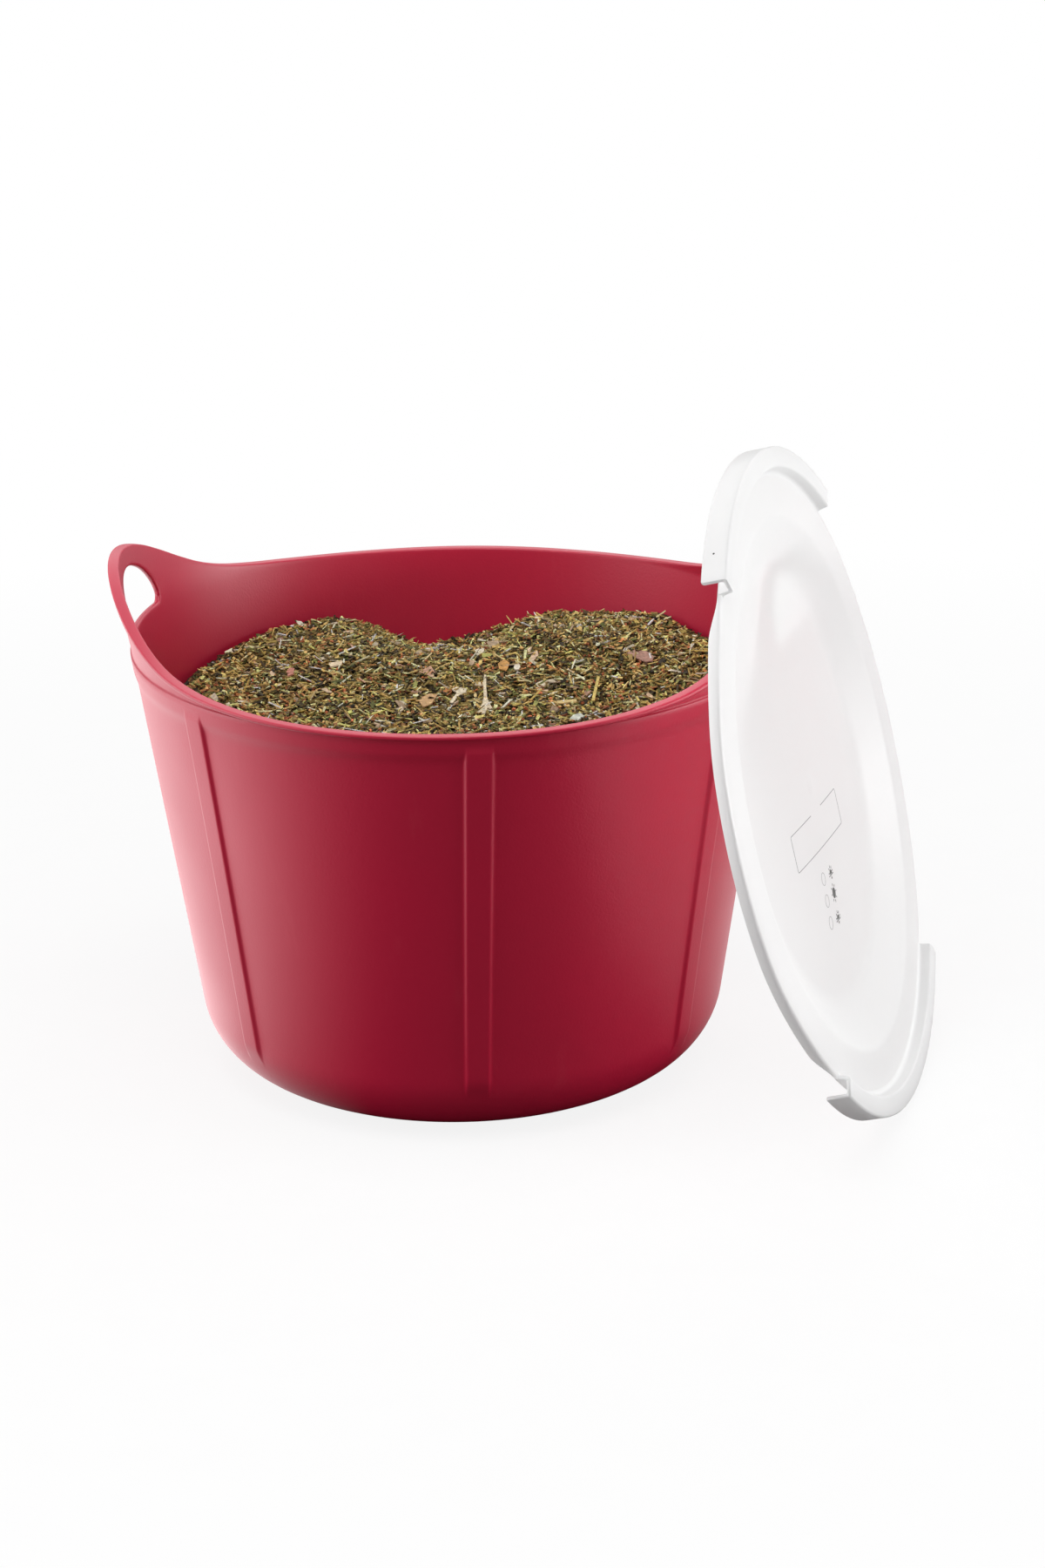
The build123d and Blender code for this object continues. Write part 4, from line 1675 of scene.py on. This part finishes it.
@dataclass
class Studio:
    """Pale floor, white surroundings, soft lamps and the camera.

    A span is (low, high, start, end): what is read from low to high gives
    start to end. The mirror spans say how brightly the floor glows in the
    bowl's highlights, a painted reflection, by the direction of the place
    that is seen.
    """

    lens: float = 80.0
    sensor: float = 36.0
    camera_place: Triple = (0.030110, -1.534335, 0.670060)
    forward: Triple = (0.0, 0.942973, -0.332868)
    right: Triple = (0.999871, -0.005356, -0.015174)
    floor_radius: float = 12.0
    floor_drop: float = 0.0004
    paper: tuple[Colour, Colour] = ((236, 236, 236), (240, 240, 240))
    bounce: Colour = (100, 100, 100)
    white_span: Span = (0.35, 0.9, 0.86, 1.0)
    left_span: Span = (-0.55, 0.15, 1.0, 0.0)
    mirror_left: Span = (-0.92, -0.1, 0.0, 2.5)
    mirror_right: Span = (-0.4, 0.4, 0.0, 1.2)
    mirror_side: Span = (0.1, 0.9, 0.3, 1.1)
    world_level: float = 0.25
    back_span: Span = (-0.2, 0.6, 0.12, 2.2)
    horizon_span: Span = (0.10, 0.30, 0.1, 1.0)
    lamps: tuple[Lamp, ...] = (
        Lamp("lamp_left", (-1.38, -0.20, 0.40), (0.0, 0.0, 0.12), (1.0, 1.1), 13.0),
        Lamp("lamp_right", (1.53, -0.10, 0.33), (0.05, 0.0, 0.12), (1.0, 0.3), 18.0),
        Lamp("lamp_front", (-0.15, -1.30, 0.10), (0.15, 0.0, 0.08), (0.9, 0.18), 1.7, fill=True),
        Lamp("lamp_top", (-0.1, -0.50, 1.55), (0.0, 0.0, 0.1), (1.1, 1.1), 15.0),
    )

    def camera(self) -> None:
        """Camera at the photograph's place and angle."""
        data = bpy.data.cameras.new("camera")
        data.lens, data.sensor_width = self.lens, self.sensor
        data.clip_start, data.clip_end = 0.05, 50.0
        camera = add_object("camera", data)
        ahead = np.array(self.forward) / np.linalg.norm(self.forward)
        side = np.array(self.right) - np.dot(self.right, ahead) * ahead
        side /= np.linalg.norm(side)
        stand(camera, side, np.cross(side, ahead), -ahead, self.camera_place)
        bpy.context.scene.camera = camera

    def paper_finish(self) -> bpy.types.Material:
        """Floor paper that the camera sees as nearly white.

        Near the middle a small share of the real paper shows, with the
        object's shadow on it. Other rays meet a grey paper. To glossy rays
        the floor glows white, a painted reflection for the bowl's highlights
        that is brighter at the back than in front, and at the sides than in
        the middle.

        Returns:
            The finished material.
        """
        material, n, shader, out = new_material("floor_paper")
        path, place = n.add("LightPath").outputs, n.add("TexCoord").outputs["Object"]
        camera, glossy = path["Is Camera Ray"], path["Is Glossy Ray"]
        fibres = n.add("TexNoise", {"Vector": place, "Scale": 40.0}).outputs[0]
        tone = n.blend(n.span(fibres, 0.3, 0.7, 0.0, 1.0), *self.paper)
        shown = n.blend(camera, self.bounce, tone)
        n.set(shader, {"Base Color": shown, "Roughness": 0.9, "Specular IOR Level": 0.0})
        # Painted reflection: the floor glows white to glossy rays, more at the back and at the sides.
        towards = n.add("VectorMath", {0: place}, operation="NORMALIZE").outputs[0]
        across, along, _ = n.add("SeparateXYZ", {0: towards}).outputs
        left, right = n.span(along, *self.mirror_left), n.span(along, *self.mirror_right)
        sides = n.mix(n.span(across, *self.left_span), right, left)
        painted_reflection = n.math("MULTIPLY", sides, n.span(n.math("ABSOLUTE", across), *self.mirror_side))
        level = n.math("ADD", camera, n.math("MULTIPLY", glossy, painted_reflection))
        distance = n.add("VectorMath", {0: place}, operation="LENGTH").outputs["Value"]
        seen = n.math("ADD", n.math("MULTIPLY", camera, n.span(distance, *self.white_span)), glossy)
        white = n.add("Emission", {"Color": (1, 1, 1, 1), "Strength": level}).outputs[0]
        n.set(out, {0: n.over(seen, shader.outputs[0], white)})
        return material

    def floor(self) -> None:
        """Adds the round floor as a stage."""
        rim = circle(64)
        mesh = bpy.data.meshes.new("floor")
        points = turned(self.floor_radius, rim, 0 * rim - self.floor_drop)
        mesh.from_pydata(points.tolist(), [], [list(range(len(rim)))])
        mesh.materials.append(self.paper_finish())
        add_object("floor", mesh)

    def world(self) -> None:
        """World that lights softly and is white to the camera.

        Highlights see it bright at the back and above the horizon.
        """
        world = bpy.data.worlds.new("studio")
        world.use_nodes = True
        n = Nodes(world.node_tree)
        path = n.add("LightPath").outputs
        _, behind, above = n.add("SeparateXYZ", {0: n.add("TexCoord").outputs["Generated"]}).outputs
        mirror = n.math("MULTIPLY", n.span(behind, *self.back_span), n.span(above, *self.horizon_span))
        room = n.mix(path["Is Glossy Ray"], self.world_level, mirror)
        level = n.mix(path["Is Camera Ray"], room, 1.0)
        n.set(world.node_tree.nodes["Background"], {"Color": (1.0, 1.0, 1.0, 1.0), "Strength": level})
        bpy.context.scene.world = world

    def build(self) -> None:
        """Makes the camera, the stage and the light."""
        self.camera()
        self.floor()
        self.world()
        for lamp in self.lamps:
            lamp.build()
        bpy.context.scene.view_settings.view_transform = "Standard"


CRIMSON_PLASTIC = MouldedPlastic(
    name="crimson_plastic", colour=(189, 15, 56), shade=(183, 13, 53), scuff=(206, 70, 84),
    roughness=0.44, specular=0.66, peel=0.00010, scuffing=0.2)
WHITE_PLASTIC = MouldedPlastic(
    name="white_plastic", colour=(231, 231, 231), shade=(229, 229, 229), scuff=(220, 220, 220),
    roughness=0.38, specular=0.4, peel=0.00005, scuffing=0.25, through=0.75, glow=0.35)
DARK_INK = PrintedInk(name="dark_ink", colour=(58, 56, 54), thin=(96, 94, 92))
GREY_INK = PrintedInk(name="grey_ink", colour=(150, 150, 150), thin=(186, 186, 186))
DRY_CHAFF = DryChaff(name="dry_chaff", fibre=700.0, dark=0.45)


def main() -> None:
    """Builds the studio and every piece of the object, in order."""
    logging.basicConfig(level=logging.INFO, format="%(name)s %(message)s")
    Studio().build()
    grain = moulded_grain_group()
    bowl = Bowl()
    lid = Lid(bowl)
    bowl.build(CRIMSON_PLASTIC.material(grain))
    lid.build(WHITE_PLASTIC.material(grain))
    LidPrint(lid).build(DARK_INK.material(), GREY_INK.material())
    Feed(bowl).build(DRY_CHAFF.material())


if __name__ == "__main__":
    main()
